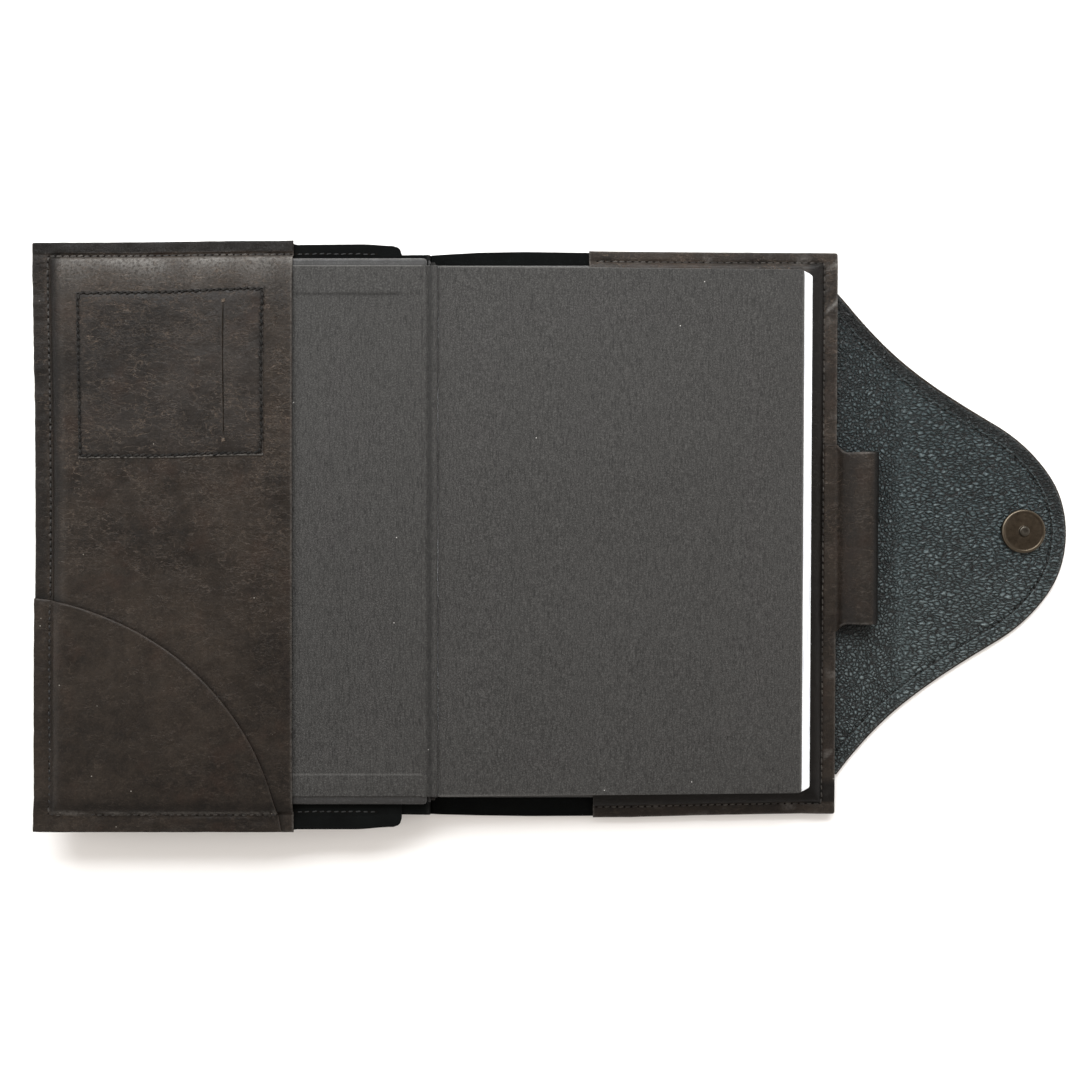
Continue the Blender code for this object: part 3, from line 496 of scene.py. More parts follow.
def bezier(a, b, c, d, n):
    t = np.linspace(0, 1, n)[:, None]
    a, b, c, d = (np.array(v, float) for v in (a, b, c, d))
    return (1 - t) ** 3 * a + 3 * (1 - t) ** 2 * t * b + 3 * (1 - t) * t * t * c + t**3 * d


def lines(a, b, step, fine=(0.12, 0.35, 0.7, 1.2), ends=(True, True)):
    lo = [a] + [a + d for d in fine] if ends[0] else [a]
    hi = [b - d for d in fine[::-1]] + [b] if ends[1] else [b]
    n = max(1, int(round((hi[0] - lo[-1]) / step)))
    return np.array(lo + list(np.linspace(lo[-1], hi[0], n + 1)[1:-1]) + hi)


def mesh_object(name, verts, faces, mats, face_mats=None, smooth_shade=True, attrs=None):
    me = bpy.data.meshes.new(name)
    me.from_pydata([tuple(v) for v in np.asarray(verts, float) * MM], [], faces)
    for mt in mats:
        me.materials.append(mt)
    if face_mats is not None:
        me.polygons.foreach_set("material_index", np.asarray(face_mats, np.int32))
    if smooth_shade:
        me.polygons.foreach_set("use_smooth", [True] * len(me.polygons))
    for k, v in (attrs or {}).items():
        at = me.attributes.new(k, "FLOAT", "POINT")
        at.data.foreach_set("value", np.asarray(v, np.float32))
    me.update()
    ob = bpy.data.objects.new(name, me)
    scene.collection.objects.link(ob)
    return ob


def sheet(name, X, Y, Z, thick, mats, round_r=0.45, wear_and_highlight=None, dark=None, edge_mat=1, under_mat=None, rub=0.5, crackle=None, joined=()):
    """A closed sheet on a mapped grid: X, Y, Z are the top face's arrays in mm, thick the thickness. The rim is
    rounded over round_r and its side faces take material edge_mat."""
    X, Y = np.asarray(X, float), np.asarray(Y, float)
    Z = np.array(Z, float)
    T = np.broadcast_to(np.asarray(thick, float), Z.shape).copy()
    nu, nv = X.shape

    def dist(i):
        return np.hypot(X - X[i], Y - Y[i])
    rims = {"start": np.hypot(X - X[:1], Y - Y[:1]), "end": np.hypot(X - X[-1:], Y - Y[-1:]),
            "low": np.hypot(X - X[:, :1], Y - Y[:, :1]), "high": np.hypot(X - X[:, -1:], Y - Y[:, -1:])}
    D = np.minimum.reduce([v for k, v in rims.items() if k not in joined])
    r = min(round_r, float(T.min()) * 0.48)
    u = np.clip(1 - D / r, 0, 1)
    drop = r * (1 - np.sqrt(np.maximum(1 - u * u, 0)))
    top = np.stack([X, Y, Z - drop], -1).reshape(-1, 3)
    bot = np.stack([X, Y, Z - T + drop * 0.6], -1).reshape(-1, 3)
    verts = np.concatenate([top, bot])
    idx = np.arange(nu * nv).reshape(nu, nv)
    a, b, c, d = idx[:-1, :-1].ravel(), idx[1:, :-1].ravel(), idx[1:, 1:].ravel(), idx[:-1, 1:].ravel()
    up = np.stack([a, b, c, d], 1)
    # orientation from the first cell
    p = verts[up[len(up) // 2]]
    if np.cross(p[1] - p[0], p[3] - p[0])[2] < 0:
        up = up[:, ::-1]
    down = up[:, ::-1] + nu * nv
    border = np.concatenate([idx[:-1, 0], idx[-1, :-1], idx[1:, -1][::-1], idx[0, 1:][::-1]])
    nb = np.roll(border, -1)
    side = np.stack([border, border + nu * nv, nb + nu * nv, nb], 1)
    q = verts[side[0]]
    centre = verts[idx[nu // 2, nv // 2]]
    nrm = np.cross(q[1] - q[0], q[3] - q[0])
    if nrm @ (q[0] - centre) < 0:
        side = side[:, ::-1]
    faces = np.concatenate([up, down, side]).tolist()
    um = 0 if under_mat is None else under_mat
    fm = [0] * len(up) + [um] * len(down) + [edge_mat if len(mats) > 1 else 0] * len(side)
    base = np.exp(-(D / 0.5) ** 2) * rub
    w = base if wear_and_highlight is None else np.clip(np.asarray(wear_and_highlight, float) + base, 0, 1)
    ck = np.zeros_like(Z) if crackle is None else np.asarray(crackle, float)
    k = np.zeros_like(Z) if dark is None else np.asarray(dark, float)
    return mesh_object(name, verts, faces, mats, fm, attrs={"wear_and_highlight": np.concatenate([w.ravel(), w.ravel() * 0.5]), "dark": np.concatenate([k.ravel(), k.ravel()]), "crackle": np.concatenate([ck.ravel(), ck.ravel() * 0])})


def resample(path, step):
    path = np.array(path, float)
    along = np.r_[0, np.cumsum(np.linalg.norm(np.diff(path, axis=0), axis=1))]
    n = max(2, int(round(along[-1] / step)) + 1)
    at = np.linspace(0, along[-1], n)
    return np.stack([np.interp(at, along, path[:, k]) for k in range(path.shape[1])], 1)


def stitches(name, path, height, mat=THREAD, length=2.25, width=0.68, rise=0.34, slant=9.0, jitter=0.06, seed=1, pitch=STITCH, flip=False, holes=True, down=False):
    """Machine stitches along a path of (x, y), each a waxed strand that dives into its two needle holes, whose shade is
    painted on dark discs.
    """
    r = np.random.default_rng(seed)
    p = resample(path, pitch)
    verts, faces, fm = [], [], []
    n_ring, n_side = 7, 6
    sign = -1.0 if down else 1.0
    for i in range(len(p) - 1):
        a, b = p[i], p[i + 1]
        t = (b - a) / np.linalg.norm(b - a)
        s = np.array([-t[1], t[0]])
        c = (a + b) / 2 + r.normal(0, jitter, 2)
        ang = math.radians((slant if not flip else -slant) + r.normal(0, 3.5))
        d = t * math.cos(ang) + s * math.sin(ang)
        e = np.array([-d[1], d[0]])
        half = length / 2 * (1 + r.normal(0, 0.04))
        base = len(verts)
        for k in range(n_ring):
            u = -1 + 2 * k / (n_ring - 1)
            q = c + d * half * u
            h = float(height(q[0], q[1]))
            arch = (1 - abs(u) ** 2.6)
            w = width / 2 * (0.45 + 0.55 * math.sqrt(max(0.0, 1 - u * u)) + 0.0)
            for j in range(n_side):
                th = 2 * math.pi * j / n_side
                off = e * w * math.cos(th)
                z = h + sign * (-0.16 + (rise + 0.02) * arch * 0.75 + (rise * 0.5) * math.sin(th) * (0.4 + 0.6 * arch))
                verts.append((q[0] + off[0], q[1] + off[1], z))
        for k in range(n_ring - 1):
            for j in range(n_side):
                j2 = (j + 1) % n_side
                f = (base + k * n_side + j, base + k * n_side + j2, base + (k + 1) * n_side + j2, base + (k + 1) * n_side + j)
                faces.append(f)
                fm.append(0)
        faces.append(tuple(base + j for j in range(n_side))[::-1])
        faces.append(tuple(base + (n_ring - 1) * n_side + j for j in range(n_side)))
        fm += [0, 0]
    # painted shade: a dark disc at each needle hole
    if holes:
        for i in range(len(p)):
            q = p[i]
            base = len(verts)
            h = float(height(q[0], q[1]))
            rad = 0.40 + r.normal(0, 0.04)
            verts.append((q[0], q[1], h + sign * 0.012))
            for j in range(8):
                th = 2 * math.pi * j / 8
                x, y = q[0] + rad * 1.25 * math.cos(th), q[1] + rad * math.sin(th)
                verts.append((x, y, float(height(x, y)) + sign * 0.022))
            for j in range(8):
                f = (base, base + 1 + j, base + 1 + (j + 1) % 8)
                faces.append(f if not down else f[::-1])
                fm.append(1)
    zero = np.zeros(len(verts))
    return mesh_object(name, verts, faces, [mat, HOLE_SHADE], fm, attrs={"wear_and_highlight": zero, "dark": zero})


def lathe(name, profile, centre, mats, n=96, wear_and_highlight=None, mat_of=None):
    verts, faces, rings, wv, fm = [], [], [], [], []
    for k, (r, z) in enumerate(profile):
        w = 0.0 if wear_and_highlight is None else wear_and_highlight[k]
        if r == 0:
            rings.append([len(verts)])
            verts.append((centre[0], centre[1], z))
            wv.append(w)
        else:
            rings.append([len(verts) + i for i in range(n)])
            verts += [(centre[0] + r * math.cos(2 * math.pi * i / n), centre[1] + r * math.sin(2 * math.pi * i / n), z) for i in range(n)]
            wv += [w] * n
    for k, (a, b) in enumerate(zip(rings, rings[1:])):
        m = 0 if mat_of is None else mat_of[k]
        for i in range(n):
            j = (i + 1) % n
            if len(a) == 1 and len(b) == 1:
                continue
            if len(a) == 1:
                faces.append((a[0], b[i], b[j]))
            elif len(b) == 1:
                faces.append((a[i], b[0], a[j]))
            else:
                faces.append((a[i], b[i], b[j], a[j]))
            fm.append(m)
    ob = mesh_object(name, verts, faces, mats, fm, attrs={"wear_and_highlight": wv, "dark": [0] * len(verts)})
    # outward normals
    me = ob.data
    me.calc_loop_triangles()
    vol = 0.0
    co = np.array([v.co for v in me.vertices])
    for t in me.loop_triangles:
        a, b, c = (co[i] for i in t.vertices)
        vol += float(np.dot(a, np.cross(b, c)))
    if vol < 0:
        me.flip_normals()
    return ob


def corner_round(X, Y, x_edge, half, R, sign, halfneg=None):
    """Rounds the two corners of a grid at x_edge by pulling grid points in near them. sign is +1 where the sheet
    lies at x greater than x_edge."""
    X, Y = X.copy(), Y.copy()
    for s, h in ((1, half), (-1, half if halfneg is None else halfneg)):
        cx, cy = x_edge + sign * R, s * (h - R)
        u, v = (cx - X) * sign, (Y - cy) * s
        m = (u > 0) & (v > 0)
        sq = np.maximum(u, v)
        rad = np.hypot(u, v)
        f = np.where(m & (rad > 1e-9), sq / np.maximum(rad, 1e-9), 1.0)
        X = np.where(m, cx - sign * u * f, X)
        Y = np.where(m, cy + s * v * f, Y)
    return X, Y


def seam_dip(d, depth=0.30, width=0.75):
    """The groove that a seam pulls into a soft face, d is the distance from its line."""
    return -depth * np.exp(-(np.asarray(d) / width) ** 2)


def remap(ob, f):
    """Moves every vertex of a mesh in plan: f takes and returns arrays of x and y in mm."""
    me = ob.data
    co = np.empty(len(me.vertices) * 3)
    me.vertices.foreach_get("co", co)
    co = co.reshape(-1, 3)
    x, y = f(co[:, 0] / MM, co[:, 1] / MM)
    co[:, 0], co[:, 1] = x * MM, y * MM
    me.vertices.foreach_set("co", co.ravel())
    me.update()
    return ob


def paint_shade(ob, f):
    """Paints shade: sets a mesh's "dark" attribute from a function of its vertices' x and y in mm."""
    me = ob.data
    co = np.empty(len(me.vertices) * 3)
    me.vertices.foreach_get("co", co)
    co = co.reshape(-1, 3) / MM
    me.attributes["dark"].data.foreach_set("value", np.asarray(f(co[:, 0], co[:, 1]), np.float32))


def front_lean(x, y):
    """The hand-cut edges: the fore edge bows in by a millimetre or two, and the head edge falls away towards it."""
    y = y - np.interp(x, [-208, -165, -125, -104, -60], [1.25, 1.15, 0.55, 0.45, 0.0]) * smooth((y - 90) / 24) - 0.75 * smooth((-y - 90) / 24)
    dx = np.interp(y, [-117, -105, -66, -26, 14, 54, 81, 109, 117], [1.0, 1.5, 1.45, 1.6, 1.75, 1.4, 0.8, 0.45, 0.4])
    return x + dx * smooth((-176 - x) / 26), y


def head_half(x):
    return np.interp(x, [-60, -47, -31, -12, 8, 60, 114], [113.8, 114.8, 115.7, 116.0, 115.7, 115.2, 114.9])


def tail_half(x):
    return np.interp(x, [-60, -47, -31, -10, 30, 60, 100, 114], [113.8, 114.5, 114.9, 115.2, 115.0, 114.2, 113.5, 113.7])


def back_lean(x, y):
    """The back cover isn't quite square: it leans at the fore edge and narrows towards it."""
    h = np.where(y > 0, head_half(x), tail_half(x)) / BACK_HALF
    w = smooth((np.abs(y) - 70) / 40)
    return x + (0.22 + 0.0062 * y) * smooth((x + 40) / 150), y * (1 + (h - 1) * w)


def block_lean(x, y):
    return x + (0.22 + 0.0062 * y) * smooth((x + 40) / 150), y


# ---------------------------------------------------------------- heights of the front (left) cover
hill = waves(11, 52)
ripple = waves(12, 13)
fine_rip = waves(13, 6.5)
fold_rip = waves(14, 4.2)


def swell(d, length, low, high):
    """The leather's height on the way in from a seam and up over a board."""
    return low + (high - low) * (1 - np.exp(-np.maximum(d, 0) / length))


def soft_min(*v, k=0.35):
    m = np.minimum.reduce(v)
    return m - k * np.log(sum(np.exp(-(x - m) / k) for x in v)) * 0.6


def sleeve_z(x, y):
    """The top of the left sleeve."""
    x, y = np.asarray(x, float), np.asarray(y, float)
    a = swell(x - SEAM_X - 1.0, 2.0, 16.0, 19.2)
    b = swell(SEAM_HEAD - y, 0.7, 16.0, 17.15) + swell(SEAM_HEAD - y, 5.6, 0.0, 2.15)
    c = swell(y - SEAM_TAIL, 2.7, 16.0, 18.95)
    z = np.minimum(soft_min(a, b, c, k=0.25) + 0.1, 19.25)
    inside = np.minimum(np.minimum(x - SEAM_X, SEAM_HEAD - y), y - SEAM_TAIL)
    z = z + seam_dip(inside, 0.34, 0.8) + 0.22 * hill(x, y) * smooth(inside / 20) + 0.10 * ripple(x, y) * smooth(inside / 6)
    margin = smooth(-inside / 2.0)
    z = z + margin * (0.20 * ripple(x * 1.3, y * 1.3) + 0.16 * fine_rip(x, y) + 0.10 * fold_rip(x * 0.45, y * 1.6))
    # creases pressed into the outer margin near the head corner
    for cy, cx, amp in ((108.2, -205.2, 0.42), (105.9, -204.8, 0.34), (103.5, -205.5, 0.38), (100.4, -205.0, 0.26), (95.1, -205.6, 0.18)):
        z = z - amp * np.exp(-((y - cy - 0.25 * (x - cx)) / 0.5) ** 2) * np.exp(-((x - cx) / 2.3) ** 2)
    # short tucks running in from the head seam
    z = z + 0.10 * tuck(x, y) * np.exp(-((SEAM_HEAD - y - 4.0) / 3.4) ** 2) * smooth(inside / 1.5)
    # the mouth's edge lifts a little
    z = z + 0.22 * np.exp(-np.maximum(X_MOUTH - x, 0) / 1.2) * smooth(inside / 12)
    return z


_tk = waves(17, 4.6)


def tuck(x, y):
    return _tk(x, y * 0.25)


def grid2(xs, ys):
    return np.meshgrid(xs, ys, indexing="ij")


def refine(lines_, centres, half=1.6, step=0.4):
    """Extra grid lines about each centre."""
    out = list(lines_)
    for c in centres:
        out = [v for v in out if abs(v - c) > half] + list(np.arange(c - half, c + half + 1e-6, step))
    out = np.array(sorted(out))
    lo, hi = lines_[0], lines_[-1]
    out = out[(out >= lo) & (out <= hi)]
    keep = [out[0]]
    for v in out[1:]:
        if v - keep[-1] > 0.05:
            keep.append(v)
    keep[-1] = hi
    return np.array(keep)


xs = refine(lines(X_FRONT_EDGE, X_MOUTH, 1.25), [SEAM_X + 0.3, SEAM_X + 2.6])
ys = refine(lines(-FRONT_HALF, FRONT_HALF, 1.25), [SEAM_HEAD, SEAM_HEAD - 2.9, SEAM_TAIL, SEAM_TAIL + 3.6])
gx, gy = grid2(xs, ys)
X, Y = corner_round(gx, gy, X_FRONT_EDGE, FRONT_HALF, 0.9, 1)
edge_wob = waves(21, 31)
X = X + 0.12 * edge_wob(X * 0 + 3, Y) * np.exp(-np.maximum(X - X_FRONT_EDGE, 0) / 3)
Y = Y + 0.16 * edge_wob(X, Y * 0 + 9) * (np.exp(-np.maximum(FRONT_HALF - Y, 0) / 3) - np.exp(-np.maximum(Y + FRONT_HALF, 0) / 3))
Z = sleeve_z(X, Y)
rub = waves(31, 17)
# painted highlight on the ridge where the leather rises over the board's head edge, and a faint pale line 6 mm inside
# the left seam
wear_and_highlight = 0.80 * smooth((SEAM_HEAD - Y - 0.3) / 1.6) * np.exp(-np.maximum(SEAM_HEAD - 2.2 - Y, 0) / 6.0) * (0.7 + 0.3 * rub(X, Y)) * smooth((X - SEAM_X - 2.5) / 3) + 0.06 * np.exp(-((X - SEAM_X - 6.2) / 1.4) ** 2)
ck = 1.0 * np.exp(-((SEAM_HEAD - 4.5 - Y) / 4.0) ** 2) + 0.8 * (Y > SEAM_HEAD + 1.0) + 0.5 * (X < SEAM_X) + 0.35 * (Y < SEAM_TAIL)
# painted shade in the groove inside the left seam (weaker towards the tail) and on the slope inside the tail seam; the
# margins outside the left and head seams are darkened too
dark = (0.95 - 0.30 * smooth((60 - Y) / 90)) * np.exp(-((X - SEAM_X - 2.9) / 2.3) ** 2) + 0.40 * np.exp(-((Y - SEAM_TAIL - 2.4) / 1.8) ** 2) * (X > SEAM_X) + 0.60 * smooth((SEAM_X - 0.8 - X) / 1.2) * smooth((Y + 100) / 40) + 0.95 * smooth((Y - SEAM_HEAD - 0.8) / 1.2)
q_line = bezier((X_FRONT_EDGE + 0.1, -25.2), (-163.5, -29.0), (-118.5, -61.5), (-108.9, -FRONT_HALF + 0.3), 90)
q_d = np.full(X.shape, 1e9)
for qx, qy in q_line:
    q_d = np.minimum(q_d, np.hypot(X - qx, Y - qy))
# painted shadow along the quarter pocket's curved edge
dark = dark + 0.55 * np.exp(-(np.maximum(q_d - 0.4, 0) / 1.1) ** 2)
left_sleeve = sheet("left_sleeve_leather", X, Y, Z, 1.0, [BROWN, EDGE, SUEDE], 0.45, wear_and_highlight, np.clip(dark, 0, 1), under_mat=2, rub=0.3, crackle=ck)
remap(left_sleeve, front_lean)
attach(left_sleeve, "front_cover"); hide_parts("left_sleeve")

# card pocket patch with its slit: four panels round the slit, made as one grid with the slit's cells left out
NX0, NX1, NY0, NY1 = -188.2, -116.1, 31.5, 95.7
PX0, PX1, PY0, PY1 = NX0 - 0.85, NX1 + 0.85, NY0 - 1.0, NY1 + 0.75
SX, SY0, SY1 = -131.1, 37.0, 91.0
CORNERS = {(0, 1): (-188.5, 94.7), (1, 1): (-116.0, 96.8), (1, 0): (-116.3, 32.2), (0, 0): (-187.3, 30.8)}


def patch_map(x, y):
    """The patch isn't square: its four seam corners fall where the knife and the needle left them."""
    u, v = (x - NX0) / (NX1 - NX0), (y - NY0) / (NY1 - NY0)
    out = [sum(CORNERS[i, j][k] * (u if i else 1 - u) * (v if j else 1 - v) for i in (0, 1) for j in (0, 1)) for k in (0, 1)]
    bow = 0.30 * np.sin(np.pi * 2.2 * v + 0.4) * (0.3 + 0.7 * u)
    return out[0] + bow * 0.5, out[1] + 0.22 * np.sin(np.pi * 2.6 * u + 1.0)
patch_wob = waves(41, 24)


def patch_z(x, y):
    inside = np.minimum(np.minimum(x - NX0, NX1 - x), np.minimum(y - NY0, NY1 - y))
    mx, my = patch_map(x, y)
    puff = 0.16 * smooth(inside / 5) + 0.10 * patch_wob(x, y)
    lip = 0.34 * np.exp(-((x - SX + 1.5) / 1.3) ** 2) * np.exp(-((y - 79.5) / 7.0) ** 2) * (x < SX)
    return sleeve_z(mx, my) + 0.62 + puff + lip + seam_dip(inside, 0.26, 0.75)


def patch_sheet(name, x0, x1, y0, y1, wx=(0.3, 0.3)):
    xs_, ys_ = lines(x0, x1, 1.4), lines(y0, y1, 1.4)
    a, b = grid2(xs_, ys_)
    return a, b


slit_half = 0.30
xs = np.concatenate([lines(PX0, SX - slit_half, 1.3), lines(SX + slit_half, PX1, 1.3)])
n_left = len(lines(PX0, SX - slit_half, 1.3))
ys = np.array(sorted(set(list(lines(PY0, PY1, 1.3)) + [SY0, SY1])))
gx, gy = grid2(xs, ys)
open_slit = smooth((gy - SY0) / 5) * smooth((SY1 - gy) / 5)
gx = np.where(np.abs(gx - (SX - slit_half)) < 1e-6, SX - 0.02 - slit_half * open_slit, gx)
gx = np.where(np.abs(gx - (SX + slit_half)) < 1e-6, SX + 0.02 + slit_half * open_slit, gx)
gz = patch_z(gx, gy)
lip = np.exp(-np.abs(gx - SX) / 0.9) * open_slit
gz = gz + 0.10 * lip * np.where(gx > SX, 1, -0.6)
nu, nv = gx.shape
top = np.stack([gx, gy, gz], -1).reshape(-1, 3)
bot = top - [0, 0, 0.55]
D = np.minimum(np.minimum(gx - PX0, PX1 - gx), np.minimum(gy - PY0, PY1 - gy))
u = np.clip(1 - D / 0.4, 0, 1)
top[:, 2] -= (0.4 * (1 - np.sqrt(1 - u * u))).ravel()
verts = np.concatenate([top, bot])
idx = np.arange(nu * nv).reshape(nu, nv)
cells = [(i, j) for i in range(nu - 1) for j in range(nv - 1) if not (i == n_left - 1 and SY0 - 1e-6 <= ys[j] and ys[j + 1] <= SY1 + 1e-6)]
inside_cells = set(cells)
faces, fm = [], []
off = nu * nv
for i, j in cells:
    c4 = [idx[i, j], idx[i + 1, j], idx[i + 1, j + 1], idx[i, j + 1]]
    faces.append([int(v) for v in c4]); fm.append(0)
    faces.append([int(v) + off for v in c4[::-1]]); fm.append(0)
    for k, (di, dj) in enumerate([(0, -1), (1, 0), (0, 1), (-1, 0)]):
        if (i + di, j + dj) not in inside_cells:
            a, b = int(c4[k]), int(c4[(k + 1) % 4])
            faces.append([a + off, b + off, b, a]); fm.append(1)
w = np.exp(-(D / 0.5) ** 2) * np.where(gy < NY0, 1.0, 0.12) + 0.15 * np.exp(-((gx - SX) / 0.6) ** 2) * open_slit
# painted shade in the slit, beside the bulging lip left of it, and along the seam groove
k_ = 0.85 * np.exp(-((gx - SX) / 0.5) ** 2) * open_slit + 0.45 * np.exp(-((gx - SX + 1.6) / 0.9) ** 2) * np.exp(-((gy - 78) / 9.0) ** 2) * (gx < SX)
seam_ = np.abs(np.minimum(np.minimum(gx - NX0, NX1 - gx), np.minimum(gy - NY0, NY1 - gy)))
k_ = np.clip(k_ + 0.55 * np.exp(-(seam_ / 0.9) ** 2), 0, 1)
w, k_ = w.ravel(), k_.ravel()
card_pocket = mesh_object("card_pocket_leather", verts, faces, [BROWN_PATCH, EDGE_PALE], fm, attrs={"wear_and_highlight": np.concatenate([w, w * 0.4]), "dark": np.concatenate([k_, k_])})
remap(card_pocket, patch_map)
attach(card_pocket, "front_cover"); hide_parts("card_pocket")
st = stitches("card_pocket_stitches", [(NX1, NY1), (NX0, NY1), (NX0, NY0), (NX1, NY0), (NX1, NY1 - 1)], patch_z, THREAD_DARK, seed=5, slant=23, jitter=0.12, pitch=2.65, length=2.55, width=1.12, rise=0.42)
remap(st, patch_map)
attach(st, "front_cover"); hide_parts("card_pocket_thread")
# bar tacks at the slit's two ends
tv, tf = [], []
for cy in (SY0 - 0.3, SY1 + 0.3):
    for k in range(3):
        y0 = cy + (k - 1) * 0.42
        b0 = len(tv)
        for uu in np.linspace(-1, 1, 7):
            for j in range(6):
                th = 2 * math.pi * j / 6
                x = SX + 0.72 * uu
                y = y0 + 0.2 * math.cos(th) + 0.12 * uu
                tv.append((x, y, float(patch_z(x, y)) + 0.10 + 0.18 * (1 - uu**4) * 0.7 + 0.14 * math.sin(th) - 0.12 * uu**4))
        for kk in range(6):
            for j in range(6):
                tf.append((b0 + kk * 6 + j, b0 + kk * 6 + (j + 1) % 6, b0 + (kk + 1) * 6 + (j + 1) % 6, b0 + (kk + 1) * 6 + j))
        tf.append(tuple(b0 + j for j in range(6))[::-1]); tf.append(tuple(b0 + 36 + j for j in range(6)))
tacks = mesh_object("card_slit_bar_tacks", tv, tf, [THREAD_TAN], attrs={"wear_and_highlight": [0] * len(tv), "dark": [0] * len(tv)})
remap(tacks, patch_map)
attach(tacks, "front_cover")


# quarter-round pocket
Q_CURVE = bezier((X_FRONT_EDGE + 0.1, -25.2), (-163.5, -29.0), (-118.5, -61.5), (-108.9, -FRONT_HALF + 0.3), 140)
q_wob = waves(51, 29)


def quarter_z(x, y):
    x, y = np.asarray(x, float), np.asarray(y, float)
    inside = np.minimum(x - SEAM_X, y - SEAM_TAIL)
    return sleeve_z(x, y) + 0.95 + seam_dip(inside, 0.16, 0.7) + 0.14 * q_wob(x, y) * smooth(inside / 10)


# polar-like grid: u runs from the sewn corner to the curve, v along the curve
nv = 96
cv = Q_CURVE[np.linspace(0, len(Q_CURVE) - 1, nv).round().astype(int)]
cx0, cy0 = X_FRONT_EDGE + 0.1, -FRONT_HALF + 0.3
split = int(nv * 0.5)
# base line: down the fore edge and then along the tail edge
lenA, lenB = -25.2 - cy0, -108.9 - cx0
vv = np.linspace(0, 1, nv)
base = np.zeros((nv, 2))
for i, t in enumerate(vv):
    s_ = t * (lenA + lenB)
    base[i] = (cx0, -25.2 - s_) if s_ <= lenA else (cx0 + (s_ - lenA), cy0)
k_corner = int(np.argmin(np.abs(vv - lenA / (lenA + lenB))))
base[k_corner] = (cx0, cy0)
us = np.concatenate([[0, 0.004, 0.012], np.linspace(0.03, 0.965, 42), [0.985, 0.994, 1.0]])
PXq = base[None, :, 0] + (cv[None, :, 0] - base[None, :, 0]) * us[:, None]
PYq = base[None, :, 1] + (cv[None, :, 1] - base[None, :, 1]) * us[:, None]
# round the outer corner to sit just inside the sleeve's
cx_, cy_ = X_FRONT_EDGE + 0.9, -FRONT_HALF + 0.9
uu_, vv_ = (cx_ - PXq), (cy_ - PYq)
m_ = (uu_ > 0) & (vv_ > 0)
rad_ = np.hypot(uu_, vv_)
f_ = np.where(m_ & (rad_ > 0.8), 0.8 / np.maximum(rad_, 1e-9), 1.0)
PXq, PYq = np.where(m_, cx_ - uu_ * f_, PXq), np.where(m_, cy_ - vv_ * f_, PYq)
Zq = quarter_z(PXq, PYq)
dc = np.hypot(PXq - cv[None, :, 0], PYq - cv[None, :, 1])
Zq = Zq + 0.16 * np.exp(-dc / 2.5) * smooth((PYq - SEAM_TAIL) / 14) * smooth((PXq - SEAM_X) / 14)
verts = np.concatenate([np.stack([PXq, PYq, Zq - 0.30 * np.exp(-(dc / 0.28) ** 2)], -1).reshape(-1, 3), np.stack([PXq, PYq, Zq - 0.86], -1).reshape(-1, 3)])
nu = len(us)
idx = np.arange(nu * nv).reshape(nu, nv)
faces, fm = [], []
off = nu * nv
for i in range(nu - 1):
    for j in range(nv - 1):
        c4 = [int(idx[i, j]), int(idx[i, j + 1]), int(idx[i + 1, j + 1]), int(idx[i + 1, j])]
        faces.append(c4); fm.append(0)
        faces.append([v + off for v in c4[::-1]]); fm.append(0)
loop_ = [int(v) for v in np.concatenate([idx[0, :], idx[1:, -1], idx[-1, :-1][::-1], idx[1:-1, 0][::-1]])]
for a, b in zip(loop_, loop_[1:] + loop_[:1]):
    faces.append([a, a + off, b + off, b]); fm.append(1)
# pale where the cut edge is worn, and a painted highlight along the ridge just inside the tail seam
wq = 0.10 * np.exp(-(dc / 0.32) ** 2) * (0.45 + 0.55 * rub(PXq * 1.4, PYq * 1.4)) + 0.55 * np.exp(-((PYq - SEAM_TAIL - 0.80) / 0.45) ** 2) * (PXq > SEAM_X)
# painted shade beside the left seam and on the slope inside the tail seam
kq = 0.30 * np.exp(-((PXq - SEAM_X - 1.0) / 0.9) ** 2) + 0.42 * np.exp(-((PYq - SEAM_TAIL - 3.4) / 2.2) ** 2)
quarter = mesh_object("quarter_pocket_leather", verts, faces, [BROWN, EDGE], fm, attrs={"wear_and_highlight": np.concatenate([wq.ravel(), wq.ravel() * 0.5]), "dark": np.concatenate([kq.ravel(), kq.ravel()])})
me = quarter.data
if sum(p.normal.z * p.area for p in list(me.polygons)[:200:2]) < 0:
    me.flip_normals()
remap(quarter, front_lean)
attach(quarter, "front_cover"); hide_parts("quarter_pocket")

# seams of the left sleeve
st = stitches("left_seam_stitches", [(X_MOUTH - 0.8, SEAM_HEAD), (SEAM_X, SEAM_HEAD), (SEAM_X, -24.6)], sleeve_z, seed=2, width=0.84, rise=0.42)
# painted shade on the left seam's stitches down the fore edge, not on the head row
paint_shade(st, lambda x, y: 0.75 * smooth((SEAM_HEAD - 3.0 - y) / 4) * (0.75 + 0.25 * rub(x, y * 3)))
remap(st, front_lean)
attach(st, "front_cover"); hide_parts("front_seam_thread")
st = stitches("quarter_pocket_stitches", [(SEAM_X, -26.5), (SEAM_X, SEAM_TAIL), (-110.6, SEAM_TAIL)], quarter_z, seed=3, width=0.84, rise=0.42)
# painted shade on the quarter seam's stitches up the fore edge, not on the tail row
paint_shade(st, lambda x, y: 0.95 * smooth((y - SEAM_TAIL - 1.0) / 2))
remap(st, front_lean)
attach(st, "front_cover"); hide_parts("quarter_pocket_seam_thread")

# ---------------------------------------------------------------- front cover panel, lining, board, pastedown
lin_wob = waves(61, 40)


def lining_z(x, y):
    return 14.7 + 0.10 * lin_wob(x, y)


INNER = -61.4


